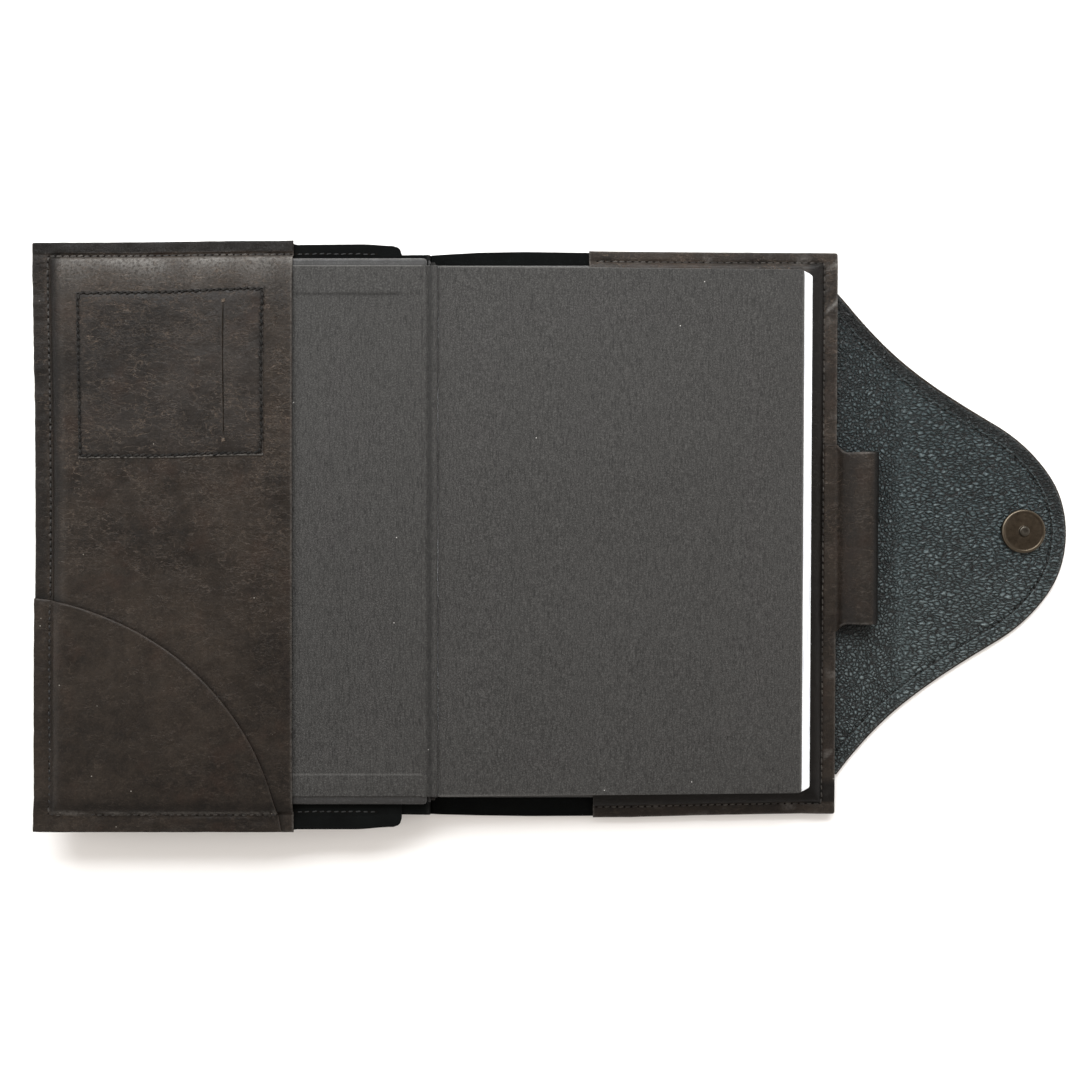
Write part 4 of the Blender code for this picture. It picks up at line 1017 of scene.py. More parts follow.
def bare_half(x, y, cut=0.0):
    """Beyond the sleeve's mouth the cover has been trimmed a little narrower."""
    h = np.where(y > 0, 116.15 - 0.8 * smooth((x + 78) / 14), 116.75 - 0.9 * smooth((x + 80) / 14)) - cut
    return y * (1 + (h / FRONT_HALF - 1) * smooth((x - X_MOUTH + 3) / 4))


xs, ys = lines(X_FRONT_EDGE + 0.5, INNER, 2.2), refine(lines(-FRONT_HALF + 0.35, FRONT_HALF - 0.35, 2.2), [SEAM_HEAD, -SEAM_HEAD])
gx, gy = grid2(xs, ys)
X, Y = corner_round(gx, gy, INNER, FRONT_HALF - 0.35, 3.6, -1)
X, Y = corner_round(X, Y, X_FRONT_EDGE + 0.5, FRONT_HALF - 0.35, 0.9, 1)
Z = lining_z(X, Y) + seam_dip(SEAM_HEAD - np.abs(Y), 0.2, 0.6)
Y = bare_half(X, Y)
wear_and_highlight = 0.25 * np.exp(-((FRONT_HALF - np.abs(Y)) / 0.8) ** 2)
front_lining = sheet("front_lining_suede", X, Y, Z, 0.8, [SUEDE, EDGE_DARK], 0.35, wear_and_highlight * 0.4, rub=0.1)
remap(front_lining, front_lean)
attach(front_lining, "front_cover"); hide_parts("front_lining")
for nm, sy, node in (("front_panel_head_stitches", SEAM_HEAD, "front_panel_head_thread"), ("front_panel_tail_stitches", SEAM_TAIL, "front_panel_tail_thread")):
    st = stitches(nm, [(X_MOUTH + 0.9, sy), (-71.5, sy)], lining_z, THREAD_GREEN, seed=8, width=0.6, rise=0.26)
    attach(st, "front_cover"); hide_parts(node)

out_wob = waves(71, 45)


def panel_under(x, y):
    return 12.2 + 0.08 * out_wob(x, y)


xs, ys = lines(X_FRONT_EDGE, INNER - 1.9, 2.4), lines(-FRONT_HALF, FRONT_HALF, 2.4)
gx, gy = grid2(xs, ys)
X, Y = corner_round(gx, gy, INNER - 1.9, FRONT_HALF, 3.8, -1)
X, Y = corner_round(X, Y, X_FRONT_EDGE, FRONT_HALF, 0.9, 1)
insd = np.minimum(np.minimum(X - SEAM_X, SEAM_HEAD - Y), Y - SEAM_TAIL)
under = panel_under(X, Y) - seam_dip(insd, 0.2, 0.6)
Y = bare_half(X, Y)
front_panel = sheet("front_panel_leather", X, Y, np.full(X.shape, 13.62), 13.62 - under, [BROWN_OUT, EDGE], 0.5, None, None, under_mat=0, rub=0.2)
remap(front_panel, front_lean)
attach(front_panel, "front_cover"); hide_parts("front_cover_panel")
st = stitches("front_panel_outer_stitches", [(-67.0, SEAM_HEAD), (SEAM_X, SEAM_HEAD), (SEAM_X, SEAM_TAIL), (-67.0, SEAM_TAIL)], panel_under, seed=9, down=True)
remap(st, front_lean)
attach(st, "front_cover")

BY0, BY1 = BOOK_Y - BOARD_HALF, BOOK_Y + BOARD_HALF


def board(name, x0, x1, z0, z1, body, node, seed):
    w = waves(seed, 60)
    xs_, ys_ = lines(x0, x1, 3.0, (0.15, 0.4, 0.8, 1.4, 2.4)), lines(BY0, BY1, 3.0, (0.15, 0.4, 0.8, 1.4, 2.4))
    a, b = grid2(xs_, ys_)
    a, b = corner_round(a, b - BOOK_Y, x0, BOARD_HALF, 1.6, 1)
    a, b = corner_round(a, b, x1, BOARD_HALF, 1.6, -1)
    b = b + BOOK_Y
    z = np.full(a.shape, z1)
    # bookcloth turned in over the board: the pastedown covers its raw edge
    rim = np.minimum(np.minimum(a - x0, x1 - a), np.minimum(b - BY0, BY1 - b))
    # painted highlight along the head edge, and a little worn paleness all round the rim
    wv = 0.50 * np.exp(-((BY1 - b) / 0.45) ** 2) + 0.12 * np.exp(-(rim / 0.4) ** 2)
    o = sheet(name, a, b, z, z1 - z0, [CLOTH, CLOTH], 0.8, wv, rub=0.0)
    if body == "back_cover":
        remap(o, block_lean)
    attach(o, body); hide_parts(node)
    return o


front_board = board("front_board_cloth", -197.4, -51.2, 15.0, 17.05, "front_cover", "book_front_board", 81)


def tuck_in(x, y):
    """Inside the sleeve the board sits a millimetre lower, clear of the head seam."""
    return x, y - 1.4 * smooth((X_MOUTH - 1.0 - x) / 7) * smooth((y - 96) / 10)


remap(front_board, tuck_in)
board("back_board_cloth", -48.4, 104.6, 2.8, 4.8, "back_cover", "book_back_board", 82)

# pastedown: paper pasted down over the board, with faint ridges of the turn-ins under it
pw = waves(91, 70)


def paste_z(x, y):
    x, y = np.asarray(x, float), np.asarray(y, float)
    z = 17.42 + 0.03 * pw(x, y)
    turn = 12.0
    for edge in (BY1 - 14.3, BY0 + turn):
        s = -1 if edge < BOOK_Y else 1
        z = z + 0.10 * smooth((s * (y - edge)) / 0.9 + 0.5)
    return z


xs, ys = lines(-195.2, -52.2, 2.2, (0.1, 0.3, 0.7)), refine(lines(BY0 + 3.3, BY1 - 3.0, 2.2, (0.1, 0.3, 0.7)), [BY1 - 14.3, BY0 + 12.0], 1.8, 0.3)
gx, gy = grid2(xs, ys)
Z = paste_z(gx, gy)
# painted shadow under the head turn-in ridge, painted highlight along the tail turn-in ridge and along the head edge
dk = 0.62 * np.exp(-((gy - (BY1 - 14.3)) / 0.75) ** 2) * smooth((gx + 106) / 6) * smooth((-58.0 - gx) / 7)
wr = 0.16 * np.exp(-((gy - (BY0 + 12.0)) / 0.35) ** 2)
paste = sheet("front_pastedown_paper", gx, gy, Z, 0.3, [PAPER, PAPER_EDGE], 0.1, wr + 0.35 * np.exp(-((gy - BY1 + 3.1) / 0.25) ** 2), dk, rub=0.0)
remap(paste, tuck_in)
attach(paste, "front_cover"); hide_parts("front_pastedown")

# endpaper across the gutter: from the pasted board, down into the joint, and up on to the leaves
FY0, FY1 = BOOK_Y - PAGE_HALF, BOOK_Y + PAGE_HALF
gut_x = np.array([-53.2, -52.2, -51.6, -51.1, -50.5, -49.8, -49.1, -48.4, -47.7, -47.1, -46.8])
gut_z = np.array([17.60, 17.62, 17.58, 17.30, 16.95, 16.85, 17.05, 17.35, 17.52, 17.56, 17.55])
ys = lines(FY0 - 0.1, FY1 + 0.2, 2.6, (0.15, 0.4, 1.0))
gx, gy = grid2(np.interp(np.linspace(0, 1, 33), np.linspace(0, 1, len(gut_x)), gut_x), ys)
gz = np.interp(gx, gut_x, gut_z)
gx2 = gx + 0.10 * waves(95, 30)(gx * 0, gy)
# painted shade in the joint's dip
dk = 0.70 * np.exp(-((gx + 50.0) / 1.0) ** 2) + 0.60 * np.exp(-((gx + 46.9) / 0.55) ** 2)
gutter = sheet("gutter_endpaper", gx2, gy, gz, 0.22, [PAPER, PAPER_EDGE], 0.1, None, dk, rub=0.0)
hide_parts("endpaper_tip")
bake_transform(gutter)

# ---------------------------------------------------------------- text block and flyleaf
BLOCK_X0, TOP_X1, BOT_X1 = -49.7, 98.2, 102.9


def block_top(x):
    u = np.clip((np.asarray(x, float) - BLOCK_X0) / (TOP_X1 - BLOCK_X0), 0, 1)
    return 16.9 + (13.5 - 16.9) * u


layers = 64
verts, faces = [], []
xs = np.concatenate([np.linspace(BLOCK_X0 + 0.2, TOP_X1 - 6, 9)])
rl = np.random.default_rng(5)
ring_n = None
for k in range(layers + 1):
    f = k / layers
    x1 = BOT_X1 + (TOP_X1 - BOT_X1) * f**1.15 + rl.normal(0, 0.10)
    dy0, dy1 = rl.normal(0, 0.07), rl.normal(0, 0.07)
    y0, y1 = FY0 + 0.35 + dy0, FY1 - 0.35 + dy1
    taper = 0.35
    z_of = lambda x: 6.9 + (float(block_top(x)) - 6.9) * f
    tp = lambda x: 0.75 * 0.9 * np.clip((x + 46.7) / 145, 0, 1)
    ring = []
    for x in xs:
        ring.append((x, y0 + tp(x), z_of(x)))
    R = 1.3
    for a in np.linspace(-90, 0, 5):
        ring.append((x1 - R + R * math.cos(math.radians(a)), y0 + 0.62 + R + R * math.sin(math.radians(a)), z_of(x1)))
    for a in np.linspace(0, 90, 5):
        ring.append((x1 - R + R * math.cos(math.radians(a)), y1 - 0.62 - R + R * math.sin(math.radians(a)), z_of(x1)))
    for x in xs[::-1]:
        ring.append((x, y1 - tp(x), z_of(x)))
    ring_n = len(ring)
    verts += ring
for k in range(layers):
    for i in range(ring_n):
        j = (i + 1) % ring_n
        faces.append((k * ring_n + i, k * ring_n + j, (k + 1) * ring_n + j, (k + 1) * ring_n + i))
faces.append(tuple(range(ring_n))[::-1])
faces.append(tuple(layers * ring_n + i for i in range(ring_n)))
block = mesh_object("page_block", verts, faces, [PAGES], smooth_shade=False, attrs={"wear_and_highlight": [0] * len(verts), "dark": [0] * len(verts)})
remap(block, block_lean)
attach(block, "back_cover"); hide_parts("text_block")

fw, fw2 = waves(101, 80), waves(102, 22)


def fly_z(x, y):
    x, y = np.asarray(x, float), np.asarray(y, float)
    z = block_top(x) + 0.62 + 0.05 * fw(x, y) + 0.015 * fw2(x, y)
    z = z + 0.05 * np.exp(-(x + 46.5) / 3.0)
    return z


xs = lines(-46.7, TOP_X1, 2.2, (0.15, 0.5, 1.0))
vs = lines(0, 1, 0.012, (0.0008, 0.002, 0.005))
gx, gv = grid2(xs, vs)
tap = 0.75 * np.clip((gx + 46.7) / 145, 0, 1)
gy = (FY0 + 0.05 + tap * 0.9) + (FY1 - FY0 - 0.1 - 1.8 * tap) * gv
gx, gy2 = corner_round(gx, gy - BOOK_Y, TOP_X1, PAGE_HALF - 0.7, 1.4, -1)
gy = gy2 + BOOK_Y
rim = np.minimum(np.minimum(gx + 46.7 + 99, TOP_X1 - gx), np.minimum(gy - FY0, FY1 - gy))
wr = 0.65 * np.exp(-(np.maximum(rim - 0.1, 0) / 0.4) ** 2)
# painted shade where the flyleaf turns down into the gutter
dk = 0.45 * np.exp(-((gx + 46.4) / 0.6) ** 2)
fly = sheet("flyleaf_paper", gx, gy, fly_z(gx, gy), 0.28, [PAPER, PAPER_EDGE, PAPER], 0.1, wr * 0.7, dk, rub=0.0)
remap(fly, block_lean)
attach(fly, "flyleaf_body"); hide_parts("flyleaf")

# ---------------------------------------------------------------- back cover: outer leather, lining, sleeve
b_wob = waves(111, 50)


def back_plan(x0, x1, half, trim=0.0):
    xs_ = np.array(sorted(set(list(lines(x0, x1, 2.4)) + [-38.0, -31.0, -24.0])))
    vs_ = lines(-1, 1, 0.022, (0.001, 0.003, 0.006, 0.011))
    a, v = grid2(xs_, vs_)
    return a, v * (half - trim)


X, Y = back_plan(-50.6, X_BACK_EDGE, BACK_HALF)
X, Y = corner_round(X, Y, X_BACK_EDGE, BACK_HALF, 1.0, -1)
back_panel = sheet("back_panel_leather", X, Y, np.full(X.shape, 1.42), 1.42 - 0.03, [BROWN_OUT, EDGE], 0.5, rub=0.2)
remap(back_panel, back_lean)
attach(back_panel, "back_cover"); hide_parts("back_cover_panel")
X, Y = back_plan(-50.6, X_BACK_EDGE - 0.5, BACK_HALF, 0.35)
X, Y = corner_round(X, Y, X_BACK_EDGE - 0.5, BACK_HALF - 0.35, 1.0, -1)
Z = 2.45 + 0.05 * b_wob(X, Y) + seam_dip(BACK_SEAM_Y - np.abs(Y), 0.12, 0.6)
back_lining = sheet("back_lining_suede", X, Y, Z, 0.95, [SUEDE, EDGE_DARK], 0.3, 0 * X, rub=0.08)
remap(back_lining, back_lean)
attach(back_lining, "back_cover"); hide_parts("back_lining")

rs_h, rs_r, rs_f = waves(121, 45), waves(122, 11), waves(123, 5)


def rsleeve_z(x, y):
    x, y = np.asarray(x, float), np.asarray(y, float)
    a, b, c = swell(BACK_SEAM_X - x, 1.9, 3.7, 6.6), swell(BACK_SEAM_Y - y, 1.1, 3.7, 6.6), swell(y + BACK_SEAM_Y, 2.2, 3.7, 6.6)
    z = np.minimum(soft_min(a, b, c, k=0.25) + 0.1, 6.6)
    inside = np.minimum(np.minimum(BACK_SEAM_X - x, BACK_SEAM_Y - y), y + BACK_SEAM_Y)
    z = z + seam_dip(inside, 0.28, 0.7) + 0.04 * rs_r(x, y) * smooth(inside / 3)
    out = smooth(-inside / 1.5)
    z = z + out * (0.12 * rs_r(x * 1.2, y * 1.2) + 0.06 * rs_f(x, y))
    for cy, cx, amp, sl in ((106.6, 110.8, 0.34, 0.5), (101.3, 111.5, 0.36, 0.7), (96.0, 111.2, 0.30, 0.6), (90.5, 111.8, 0.26, 0.9), (84.0, 111.6, 0.22, 0.4), (-98.6, 111.2, 0.34, -0.8), (-103.0, 111.6, 0.3, -1.0), (-106.0, 110.9, 0.28, -0.6)):
        z = z - amp * np.exp(-((y - cy - sl * (x - cx)) / 0.5) ** 2) * np.exp(-((x - cx) / 2.6) ** 2)
    z = z + 0.15 * np.exp(-np.maximum(x - X_BACK_MOUTH, 0) / 1.2)
    return z


xs = refine(lines(X_BACK_MOUTH, X_BACK_EDGE, 1.4), [BACK_SEAM_X, BACK_SEAM_X - 4.0], 1.6, 0.4)
ys = refine(lines(-BACK_HALF, BACK_HALF, 1.4), [BACK_SEAM_Y, -BACK_SEAM_Y, BACK_SEAM_Y - 1.8, 90, 98, 105], 1.6, 0.4)
gx, gy = grid2(xs, ys)
X, Y = corner_round(gx, gy, X_BACK_EDGE, BACK_HALF, 1.0, -1)
# the mouth runs a little aslant
X = X + 2.0 * np.clip((Y + BACK_HALF) / (2 * BACK_HALF), 0, 1) * -1.0 * np.clip((X_BACK_EDGE - X) / 100, 0, 1) + 1.0 * np.clip((X_BACK_EDGE - X) / 100, 0, 1)
Z = rsleeve_z(X, Y)
# painted highlight along a diagonal crease by the fore-edge seam towards the head; the margins outside the seams are
# paler where worn
crease_highlight = 0.8 * np.exp(-((Y - 92.3 - 0.9 * (X - 111)) / 0.9) ** 2) * smooth((X - 108.5) / 2)
wear_and_highlight = 0.75 * crease_highlight + 0.25 * smooth((rs_r(X * 1.4, Y * 1.4) - 0.35) / 0.5) * (smooth((np.abs(Y) - 108) / 3) + smooth((X - 108) / 3))
# painted shade on the strip between the page block and the fore-edge seam, and the page block's painted shadow inside
# the tail seam
dark = (0.97 * smooth((X - 101.0) / 2.0) * smooth((BACK_SEAM_X - X + 0.2) / 0.6) + 1.0 * smooth((-100.5 - Y) / 1.2) * smooth((Y + BACK_SEAM_Y - 0.2) / 1.0)) * (np.abs(Y) < BACK_SEAM_Y)
right_sleeve = sheet("right_sleeve_leather", X, Y, Z, 0.85, [BROWN, EDGE, SUEDE], 0.42, wear_and_highlight, dark, under_mat=2, rub=0.3, crackle=0.5 * (X > BACK_SEAM_X) + 0.4 * (np.abs(Y) > BACK_SEAM_Y))
remap(right_sleeve, back_lean)
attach(right_sleeve, "back_cover"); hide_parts("right_sleeve")
st = stitches("right_seam_stitches", [(X_BACK_MOUTH + 2.4, BACK_SEAM_Y), (BACK_SEAM_X, BACK_SEAM_Y), (BACK_SEAM_X, -BACK_SEAM_Y), (X_BACK_MOUTH + 2.4, -BACK_SEAM_Y)], rsleeve_z, seed=12)
remap(st, back_lean)
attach(st, "back_cover"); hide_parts("back_seam_thread")

# spine leather: turned up round the book's back, and out to carry the front cover
prof = [(-50.4, 1.40), (-51.0, 1.42), (-51.15, 1.75), (-51.2, 3.5), (-51.25, 6.5), (-51.3, 9.5), (-51.5, 12.2), (-52.2, 13.3), (-53.6, 13.62), (-57.5, 13.66), (-63.2, 13.66)]
prof = np.array(prof)
along = np.r_[0, np.cumsum(np.linalg.norm(np.diff(prof, axis=0), axis=1))]
at = np.linspace(0, along[-1], 46)
inner = np.stack([np.interp(at, along, prof[:, 0]), np.interp(at, along, prof[:, 1])], 1)
for _ in range(3):
    inner[1:-1] = (inner[:-2] + 2 * inner[1:-1] + inner[2:]) / 4
tg = np.gradient(inner, axis=0)
tg /= np.linalg.norm(tg, axis=1)[:, None]
outer = inner + 1.36 * np.stack([tg[:, 1] * -1.0, tg[:, 0]], 1)
vs = lines(-1, 1, 0.022, (0.001, 0.003, 0.006))
verts, faces, fm = [], [], []
half = np.interp(at, [0, 4, 13, along[-1]], [114.2, 113.7, 111.6, 111.4])
sw = waves(131, 25)
n1, n2 = len(at), len(vs)
for side_pts in (inner, outer):
    for i in range(n1):
        for v in vs:
            verts.append((side_pts[i, 0], v * half[i], side_pts[i, 1] + 0.0))
idx = np.arange(n1 * n2).reshape(n1, n2)
off = n1 * n2
for i in range(n1 - 1):
    for j in range(n2 - 1):
        c4 = [int(idx[i, j]), int(idx[i + 1, j]), int(idx[i + 1, j + 1]), int(idx[i, j + 1])]
        faces.append(c4); fm.append(1)
        faces.append([v + off for v in c4[::-1]]); fm.append(0)
bl = [int(v) for v in np.concatenate([idx[:, 0], idx[-1, 1:], idx[:-1, -1][::-1], idx[0, 1:-1][::-1]])]
for a, b in zip(bl, bl[1:] + bl[:1]):
    faces.append([a, b, b + off, a + off][::-1]); fm.append(2)
spine = mesh_object("spine_leather_piece", verts, faces, [BROWN_OUT, SUEDE, EDGE_DARK], fm, attrs={"wear_and_highlight": [0.0] * len(verts), "dark": [0.0] * len(verts)})
bpy.context.view_layer.objects.active = spine
import bmesh
bm = bmesh.new(); bm.from_mesh(spine.data); bmesh.ops.recalc_face_normals(bm, faces=bm.faces); bm.to_mesh(spine.data); bm.free()
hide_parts("spine_leather", "spine_leather_front_leaf")
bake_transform(spine)

# ---------------------------------------------------------------- flap
def ogee(n1=70, n2=70):
    u0, u1 = np.array([1, -1.262]) / math.hypot(1, 1.262), np.array([1, -0.609]) / math.hypot(1, 0.609)
    a, d = np.array([114.97, 98.48]), np.array([179.9, 43.5])
    first = bezier(a, a + 34.9 * u0, d - 36.5 * u1, d, n1)
    g = np.array([208.3, 0.0])
    return np.vstack([first, bezier(d, d + 3.0 * u1, g + [0, 26.66], g, n2)[1:]])


def offset_in(curve, d):
    t = np.gradient(curve, axis=0)
    t /= np.linalg.norm(t, axis=1)[:, None]
    out = curve + d * np.c_[t[:, 1], -t[:, 0]]
    out[-1] = [208.3 - d, 0]
    return out


EDGE_CURVE = ogee()
f_h, f_r, f_f = waves(141, 42), waves(142, 12), waves(143, 5.5)


def edge_distance(x, y, curve=EDGE_CURVE):
    """How far a point is inside the flap's edge."""
    x, y = np.asarray(x, float), np.abs(np.asarray(y, float))
    c = curve[::3]
    d = np.full(x.shape, 1e9)
    for a, b in zip(c[:-1], c[1:]):
        v = b - a
        t = np.clip(((x - a[0]) * v[0] + (y - a[1]) * v[1]) / (v @ v), 0, 1)
        d = np.minimum(d, np.hypot(x - a[0] - t * v[0], y - a[1] - t * v[1]))
    return d


def flap_z(x, y, d=None):
    x, y = np.asarray(x, float), np.asarray(y, float)
    d = edge_distance(x, y) if d is None else d
    z = 2.42 + 0.20 * f_h(x, y) * smooth(d / 12) + seam_dip(d - 6.3, 0.42, 0.75)
    z = z + 0.10 * smooth((6.0 - d) / 2.0) * f_r(x, y)
    # the crease of the second fold, and drawn ripples about it
    cr = TIP_X - 1.0 + 1.6 * f_h(x * 0, y)
    z = z - 0.20 * np.exp(-((x - cr) / 1.5) ** 2) - 0.12 * np.exp(-((x - cr - 4.2) / 1.1) ** 2) * (0.6 + 0.4 * f_r(x, y))
    z = z + 0.04 * f_f(x, y) * np.exp(-((x - cr) / 6) ** 2)
    return z


def flap_lean(x, y):
    """The flap was sewn on a millimetre towards the head."""
    x2 = x + 0.6 * smooth((x - 150) / 50)
    side = smooth(np.abs(y) / 20) * np.where(y > 0, 0.75 + 0.25 * smooth((x - 200) / 8), smooth((x - 124) / 30)) * 0.95
    side = side + 0.9 * smooth((x - 196) / 12) * smooth(np.abs(y) / 8) * 0.6
    return x2, y + (0.75 + np.sign(y) * side) * smooth((x - 108) / 12)


def flap_rows(x0, x1, inset):
    """A grid over the flap between x0 and x1: the plan, with v from the tail edge to the head edge."""
    c = offset_in(ogee(), inset) if inset else ogee()
    if x1 > c[-1, 0] - 0.01:
        # rows across x, closing round the tip: follow the edge curve itself
        top = c[c[:, 0] >= x0 - 1e-6]
        s = np.vstack([[x0, np.interp(x0, c[:, 0], c[:, 1])], top[top[:, 0] > x0 + 0.3]])
        s = resample(s, 1.3)
        s[-1, 1] = 0.02
    else:
        xs_ = np.linspace(x0, x1, max(2, int((x1 - x0) / 1.2)))
        s = np.stack([xs_, np.interp(xs_, c[:, 0], c[:, 1])], 1)
    vs_ = lines(-1, 1, 0.016, (0.0012, 0.004, 0.008, 0.014))
    a, v = grid2(s[:, 0], vs_)
    h = s[:, 1][:, None]
    slack = 0.5 * smooth((a - 115) / 6) * smooth((186 - a) / 26) if inset else 0.0
    return a, v * (h - slack * (v > 0) * smooth(v * 2))


def flap_piece(name, x0, x1, inset, z_top, thick, mats, body, other=None, nodes=(), flat=False, joined=()):
    X, Y = flap_rows(x0, x1, inset)
    D = edge_distance(X, Y)
    if flat:
        Z = np.full(X.shape, z_top)
        o = sheet(name, X, Y, Z, thick, mats, 0.3, rub=0.1, joined=joined)
    else:
        Z = flap_z(X, Y, D)
        Z = Z - 0.32 * np.exp(-np.maximum(D - inset, 0) / 0.35)
        wr = 0.30 * np.exp(-((D - inset - 0.2) / 0.5) ** 2)
        # painted shade on the band outside the stitches (mostly on the head side), near the fold at the flap's base,
        # and in the crease of the second fold
        dk = (0.80 * smooth((Y + 20) / 40) + 0.05) * smooth((5.8 - D) / 1.2) + 0.58 * np.exp(-np.maximum(X - 114.6, 0) / 6.5) + 0.25 * np.exp(-((X - TIP_X + 1.0) / 1.4) ** 2)
        # deep shade in the corner below the pen loop
        dk = dk + 1.0 * smooth((-34.5 - Y) / 2.0) * np.exp(-np.maximum(-39.0 - Y, 0) / 2.2) * smooth((130.0 - X) / 4.5)
        o = sheet(name, X, Y, Z, thick, mats, 0.3, np.clip(wr, 0, 1), np.clip(dk, 0, 1), rub=0.0, joined=joined)
    for nm, val in (("rim", D), ("lap", (D - inset - 1.55 * smooth((X - 116) / 8) * smooth((196 - X) / 40)) * np.where(Y > 0, 1, 50))):
        at_ = o.data.attributes.new(nm, "FLOAT", "POINT")
        at_.data.foreach_set("value", np.concatenate([val.ravel(), val.ravel()]).astype(np.float32))
    remap(o, flap_lean)
    if other:
        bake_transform(o)
    else:
        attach(o, body)
    for n_ in nodes:
        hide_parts(n_)
    return o


MID = 127.0
flap_piece("flap_lining_base", 113.4, MID, 0.75, 0, 1.0, [BLUE, EDGE_DARK], "back_cover", "flap_gusset", ("flap_gusset_lining",), joined=("start", "end"))
flap_piece("flap_lining_tip", MID, 999, 0.75, 0, 1.0, [BLUE, EDGE_DARK], "flap_gusset", "flap_tip", ("flap_tip_lining",), joined=("start", "end"))
flap_piece("flap_outer_base", 113.6, MID, 0.0, 1.40, 1.36, [BROWN_OUT, EDGE_DARK], "back_cover", "flap_gusset", ("flap_gusset_outer",), True, ("start", "end"))
flap_piece("flap_outer_tip", MID, 999, 0.0, 1.40, 1.36, [BROWN_OUT, EDGE_DARK], "flap_gusset", "flap_tip", ("flap_tip_outer",), True, ("start", "end"))
line = offset_in(ogee(), 6.3)
g_head = [tuple(p) for p in line if 117.2 < p[0] < 136.5]
st = stitches("flap_gusset_head_stitches", g_head, flap_z, THREAD_GREEN, seed=21)
remap(st, flap_lean)
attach(st, "flap_gusset"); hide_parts("flap_gusset_head_thread")
st = stitches("flap_gusset_tail_stitches", [(x, -y) for x, y in g_head], flap_z, THREAD_GREEN, seed=22, flip=True)
remap(st, flap_lean)
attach(st, "flap_gusset"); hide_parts("flap_gusset_tail_thread")
t_head = [tuple(p) for p in line if p[0] > 140.2 and p[1] > 0.5]
st = stitches("flap_tip_stitches", t_head + [(x, -y) for x, y in t_head[::-1]], flap_z, THREAD_GREEN, seed=23)
remap(st, flap_lean)
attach(st, "flap_tip"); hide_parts("flap_tip_thread")

# ---------------------------------------------------------------- pen loop
LY0, LY1 = -36.1, 33.3
lw, lw2 = waves(151, 26), waves(152, 8)


def loop_section():
    """Outer line of the folded tongue in (x, z), from the sleeve's edge over the top and back below."""
    top = bezier((112.6, 4.35), (115.5, 4.6), (118.2, 11.1), (124.6, 11.25), 16)
    bow = bezier((124.6, 11.25), (128.4, 11.3), (130.1, 9.2), (130.05, 6.9), 10)[1:]
    low = bezier((130.05, 6.9), (130.0, 4.2), (127.6, 3.0), (123.8, 2.95), 10)[1:]
    back = bezier((123.8, 2.95), (120.5, 2.92), (118.5, 2.95), (115.4, 2.98), 8)[1:]
    return np.vstack([top, bow, low, back])


sec = np.vstack([np.stack([np.linspace(109.0, 113.6, 8), np.full(8, 3.75)], 1), loop_section()[2:]])
n_root = 8
tn = np.gradient(sec, axis=0)
tn /= np.linalg.norm(tn, axis=1)[:, None]
inn = sec + 0.95 * np.stack([tn[:, 1], -tn[:, 0]], 1)
vs = lines(0, 1, 0.018, (0.003, 0.008, 0.015))
verts, n1, n2 = [], len(sec), len(vs)
on_top = np.arange(n1) < 24
# the tongue's edges sweep out into the sleeve's edge in two small curves
spread_ = np.where(on_top, 3.2 * np.clip((118.0 - sec[:, 0]) / 4.0, 0, 1) ** 2.4, 0.0)
for k, pts_ in enumerate((sec, inn)):
    for i in range(n1):
        y0, y1 = LY0 - spread_[i], LY1 + spread_[i]
        # the root lies on the sleeve and shares its surface
        share = float(smooth((115.8 - sec[i, 0]) / 2.4)) if on_top[i] else 0.0
        for v in vs:
            y = y0 + (y1 - y0) * v
            e = min(v, 1 - v) * (y1 - y0)
            rr = 0.35 * math.exp(-(e / 0.25) ** 2) * (1 - share)
            nx, nz = -tn[i, 1], tn[i, 0]
            bulge = (0.16 * float(lw(pts_[i, 0], y)) if 10 < i < n1 - 6 else 0.0)
            s_ = 1 if k == 0 else -1
            x_, z_ = pts_[i, 0] + nx * (bulge - s_ * rr * 0.6), pts_[i, 1] + nz * (bulge - s_ * rr * 0.6)
            if share > 0:
                low = float(rsleeve_z(min(sec[i, 0], 113.2), y)) + 0.05 - (0.6 if k else 0.0)
                z_ = z_ * (1 - share) + low * share
            verts.append((x_, y, z_))
idx = np.arange(n1 * n2).reshape(n1, n2)
off = n1 * n2
faces, fm = [], []
for i in range(n1 - 1):
    for j in range(n2 - 1):
        c4 = [int(idx[i, j]), int(idx[i, j + 1]), int(idx[i + 1, j + 1]), int(idx[i + 1, j])]
        faces.append(c4[::-1]); fm.append(0)
        faces.append([v + off for v in c4]); fm.append(1)
bl = [int(v) for v in np.concatenate([idx[:, 0], idx[-1, 1:], idx[:-1, -1][::-1], idx[0, 1:-1][::-1]])]
for a, b in zip(bl, bl[1:] + bl[:1]):
    faces.append([a, b, b + off, a + off]); fm.append(2)
# painted highlight along the loop's crown; the tongue's side edges are paler where worn
w_ = np.zeros((2, n1, n2))
for i in range(n1):
    w_[0, i, :] = 0.05 * math.exp(-((sec[i, 0] - 123.6) / 2.0) ** 2) if i < 32 else 0
    if sec[i, 0] > 115.5:
        w_[0, i, :3] = np.maximum(w_[0, i, :3], 0.3); w_[0, i, -3:] = np.maximum(w_[0, i, -3:], 0.3)
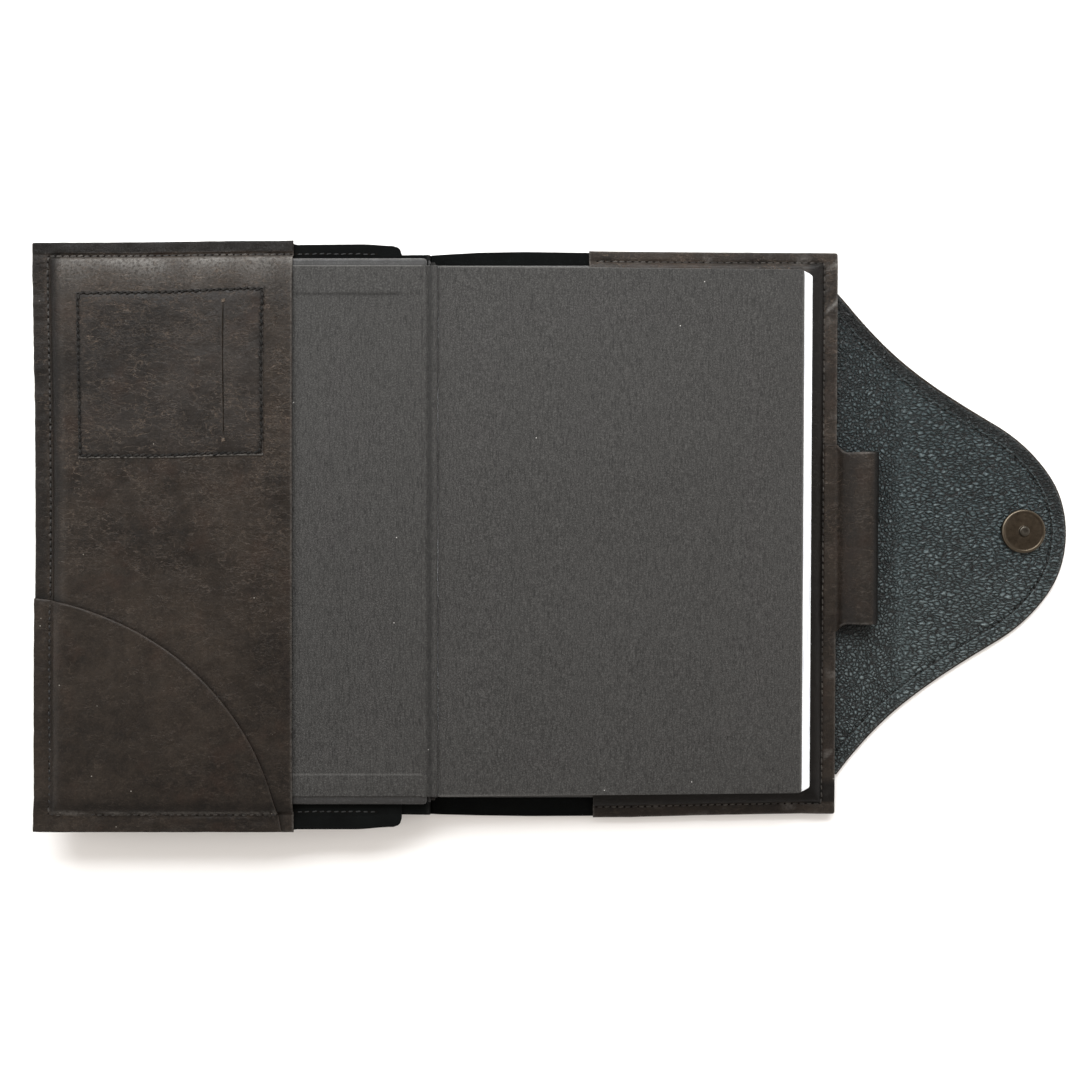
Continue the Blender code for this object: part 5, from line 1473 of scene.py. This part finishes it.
# painted shade inside and under the loop, on its right edge where it turns down and on the slope left of the crown,
# with a general darkening past x 117
d_ = np.zeros((2, n1, n2)); d_[1] = 0.5
d_[0, 32:, :] = 0.55
for i in range(n1):
    if i < 32:
        d_[0, i, :] = 0.90 * float(smooth((sec[i, 0] - 126.2) / 2.0)) + 0.40 * float(smooth((122.0 - sec[i, 0]) / 4.0)) * float(smooth((sec[i, 0] - 114.0) / 2.0)) + 0.22 * float(smooth((sec[i, 0] - 117.0) / 3.0))
pen = mesh_object("pen_loop_leather", verts, faces, [BROWN, SUEDE, EDGE], fm, attrs={"wear_and_highlight": w_.ravel(), "dark": d_.ravel()})
bm = bmesh.new(); bm.from_mesh(pen.data); bmesh.ops.recalc_face_normals(bm, faces=bm.faces); bm.to_mesh(pen.data); bm.free()
remap(pen, back_lean)
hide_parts("pen_loop")
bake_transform(pen)

# ---------------------------------------------------------------- snap
cx, cy = 190.6, 1.5
profile = [(0, 2.45), (8.7, 2.45), (8.95, 2.7), (9.0, 3.2), (8.93, 3.7), (8.75, 4.0), (8.5, 4.2), (8.2, 4.28), (7.9, 4.24), (7.7, 4.05), (7.5, 3.98), (7.0, 4.02), (5.5, 4.10), (3.6, 4.12), (2.7, 4.12), (2.4, 4.08), (2.18, 4.16), (2.06, 4.45), (1.98, 4.85), (1.84, 5.04), (1.52, 5.12), (1.1, 5.14), (0.9, 5.06), (0.6, 5.02), (0, 5.0)]
wear_p = [0, 0, .05, .10, .18, .26, .20, .08, .08, .03, .02, .03, .02, .02, .04, 0.0, .05, .15, .3, .4, .25, .15, .08, .05, .05]
mo = [0] * len(profile)
for i in range(16, len(profile)):
    mo[i] = 1
disc = lathe("snap_male_face", profile, (cx, cy), [METAL, METAL_BOSS], 96, wear_p, mo)
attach(disc, "flap_tip"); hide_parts("snap_male_disc")
for n_ in ("snap_female_cup", "snap_female_magnet", "snap_female_washer", "snap_male_washer", "book_spine_strip", "back_pastedown", "head_band", "tail_band"):
    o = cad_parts[n_]
    mt = {"snap_female_cup": METAL, "snap_female_magnet": STEEL, "snap_female_washer": STEEL, "snap_male_washer": STEEL, "book_spine_strip": CLOTH, "back_pastedown": PAPER, "head_band": THREAD_DARK, "tail_band": THREAD_DARK}[n_]
    if o.material_slots:
        for s_ in o.material_slots:
            s_.material = mt
    else:
        o.data.materials.append(mt)

# ---------------------------------------------------------------- stage, light, camera
fm_ = Mat("studio_floor", Roughness=0.9)
fm_.colour(fm_.ramp(fm_.noise(400, 2, 0.5), (0.3, (0.93, 0.93, 0.93)), (0.7, (0.95, 0.95, 0.95))))
fm_.p.inputs["Specular IOR Level"].default_value = 0.0
S = 3000
floor = mesh_object("studio_floor", [(-S, -S, -0.05), (S, -S, -0.05), (S, S, -0.05), (-S, S, -0.05)], [(0, 1, 2, 3)], [fm_.m], smooth_shade=False)


def area(name, loc, target, size, size_y, power, colour=(1, 1, 1)):
    l = bpy.data.lights.new(name, "AREA")
    l.shape, l.size, l.size_y, l.energy, l.color = "RECTANGLE", size, size_y, power, colour
    o = bpy.data.objects.new(name, l)
    scene.collection.objects.link(o)
    o.location = loc
    from mathutils import Vector
    o.rotation_euler = (Vector(target) - Vector(loc)).to_track_quat("-Z", "Y").to_euler()
    return o


area("key_softbox", (-0.08, 0.66, 0.60), (0, 0, 0), 1.3, 0.42, 16.0, (0.975, 0.99, 1.0))
area("side_fill_left", (-1.5, 0.1, 0.9), (0, 0, 0), 1.2, 1.0, 5.0)
area("side_fill_right", (1.5, 0.1, 0.9), (0, 0, 0), 1.2, 1.0, 5.0)
world = bpy.data.worlds.new("studio")
scene.world = world
world.use_nodes = True
bg = world.node_tree.nodes["Background"]
bg.inputs["Color"].default_value = (1.0, 0.920, 0.845, 1)
bg.inputs["Strength"].default_value = 0.69
scene.view_settings.view_transform = "Standard"
scene.view_settings.look = "None"
scene.view_settings.exposure = 0.0

cam = bpy.data.cameras.new("camera")
cam.sensor_width, cam.lens = 36.0, 38.0
cam.clip_start, cam.clip_end = 0.01, 20
co = bpy.data.objects.new("camera", cam)
scene.collection.objects.link(co)
co.location = (-0.0064, -0.00206, 0.468)
co.rotation_euler = (0, 0, 0)
scene.camera = co
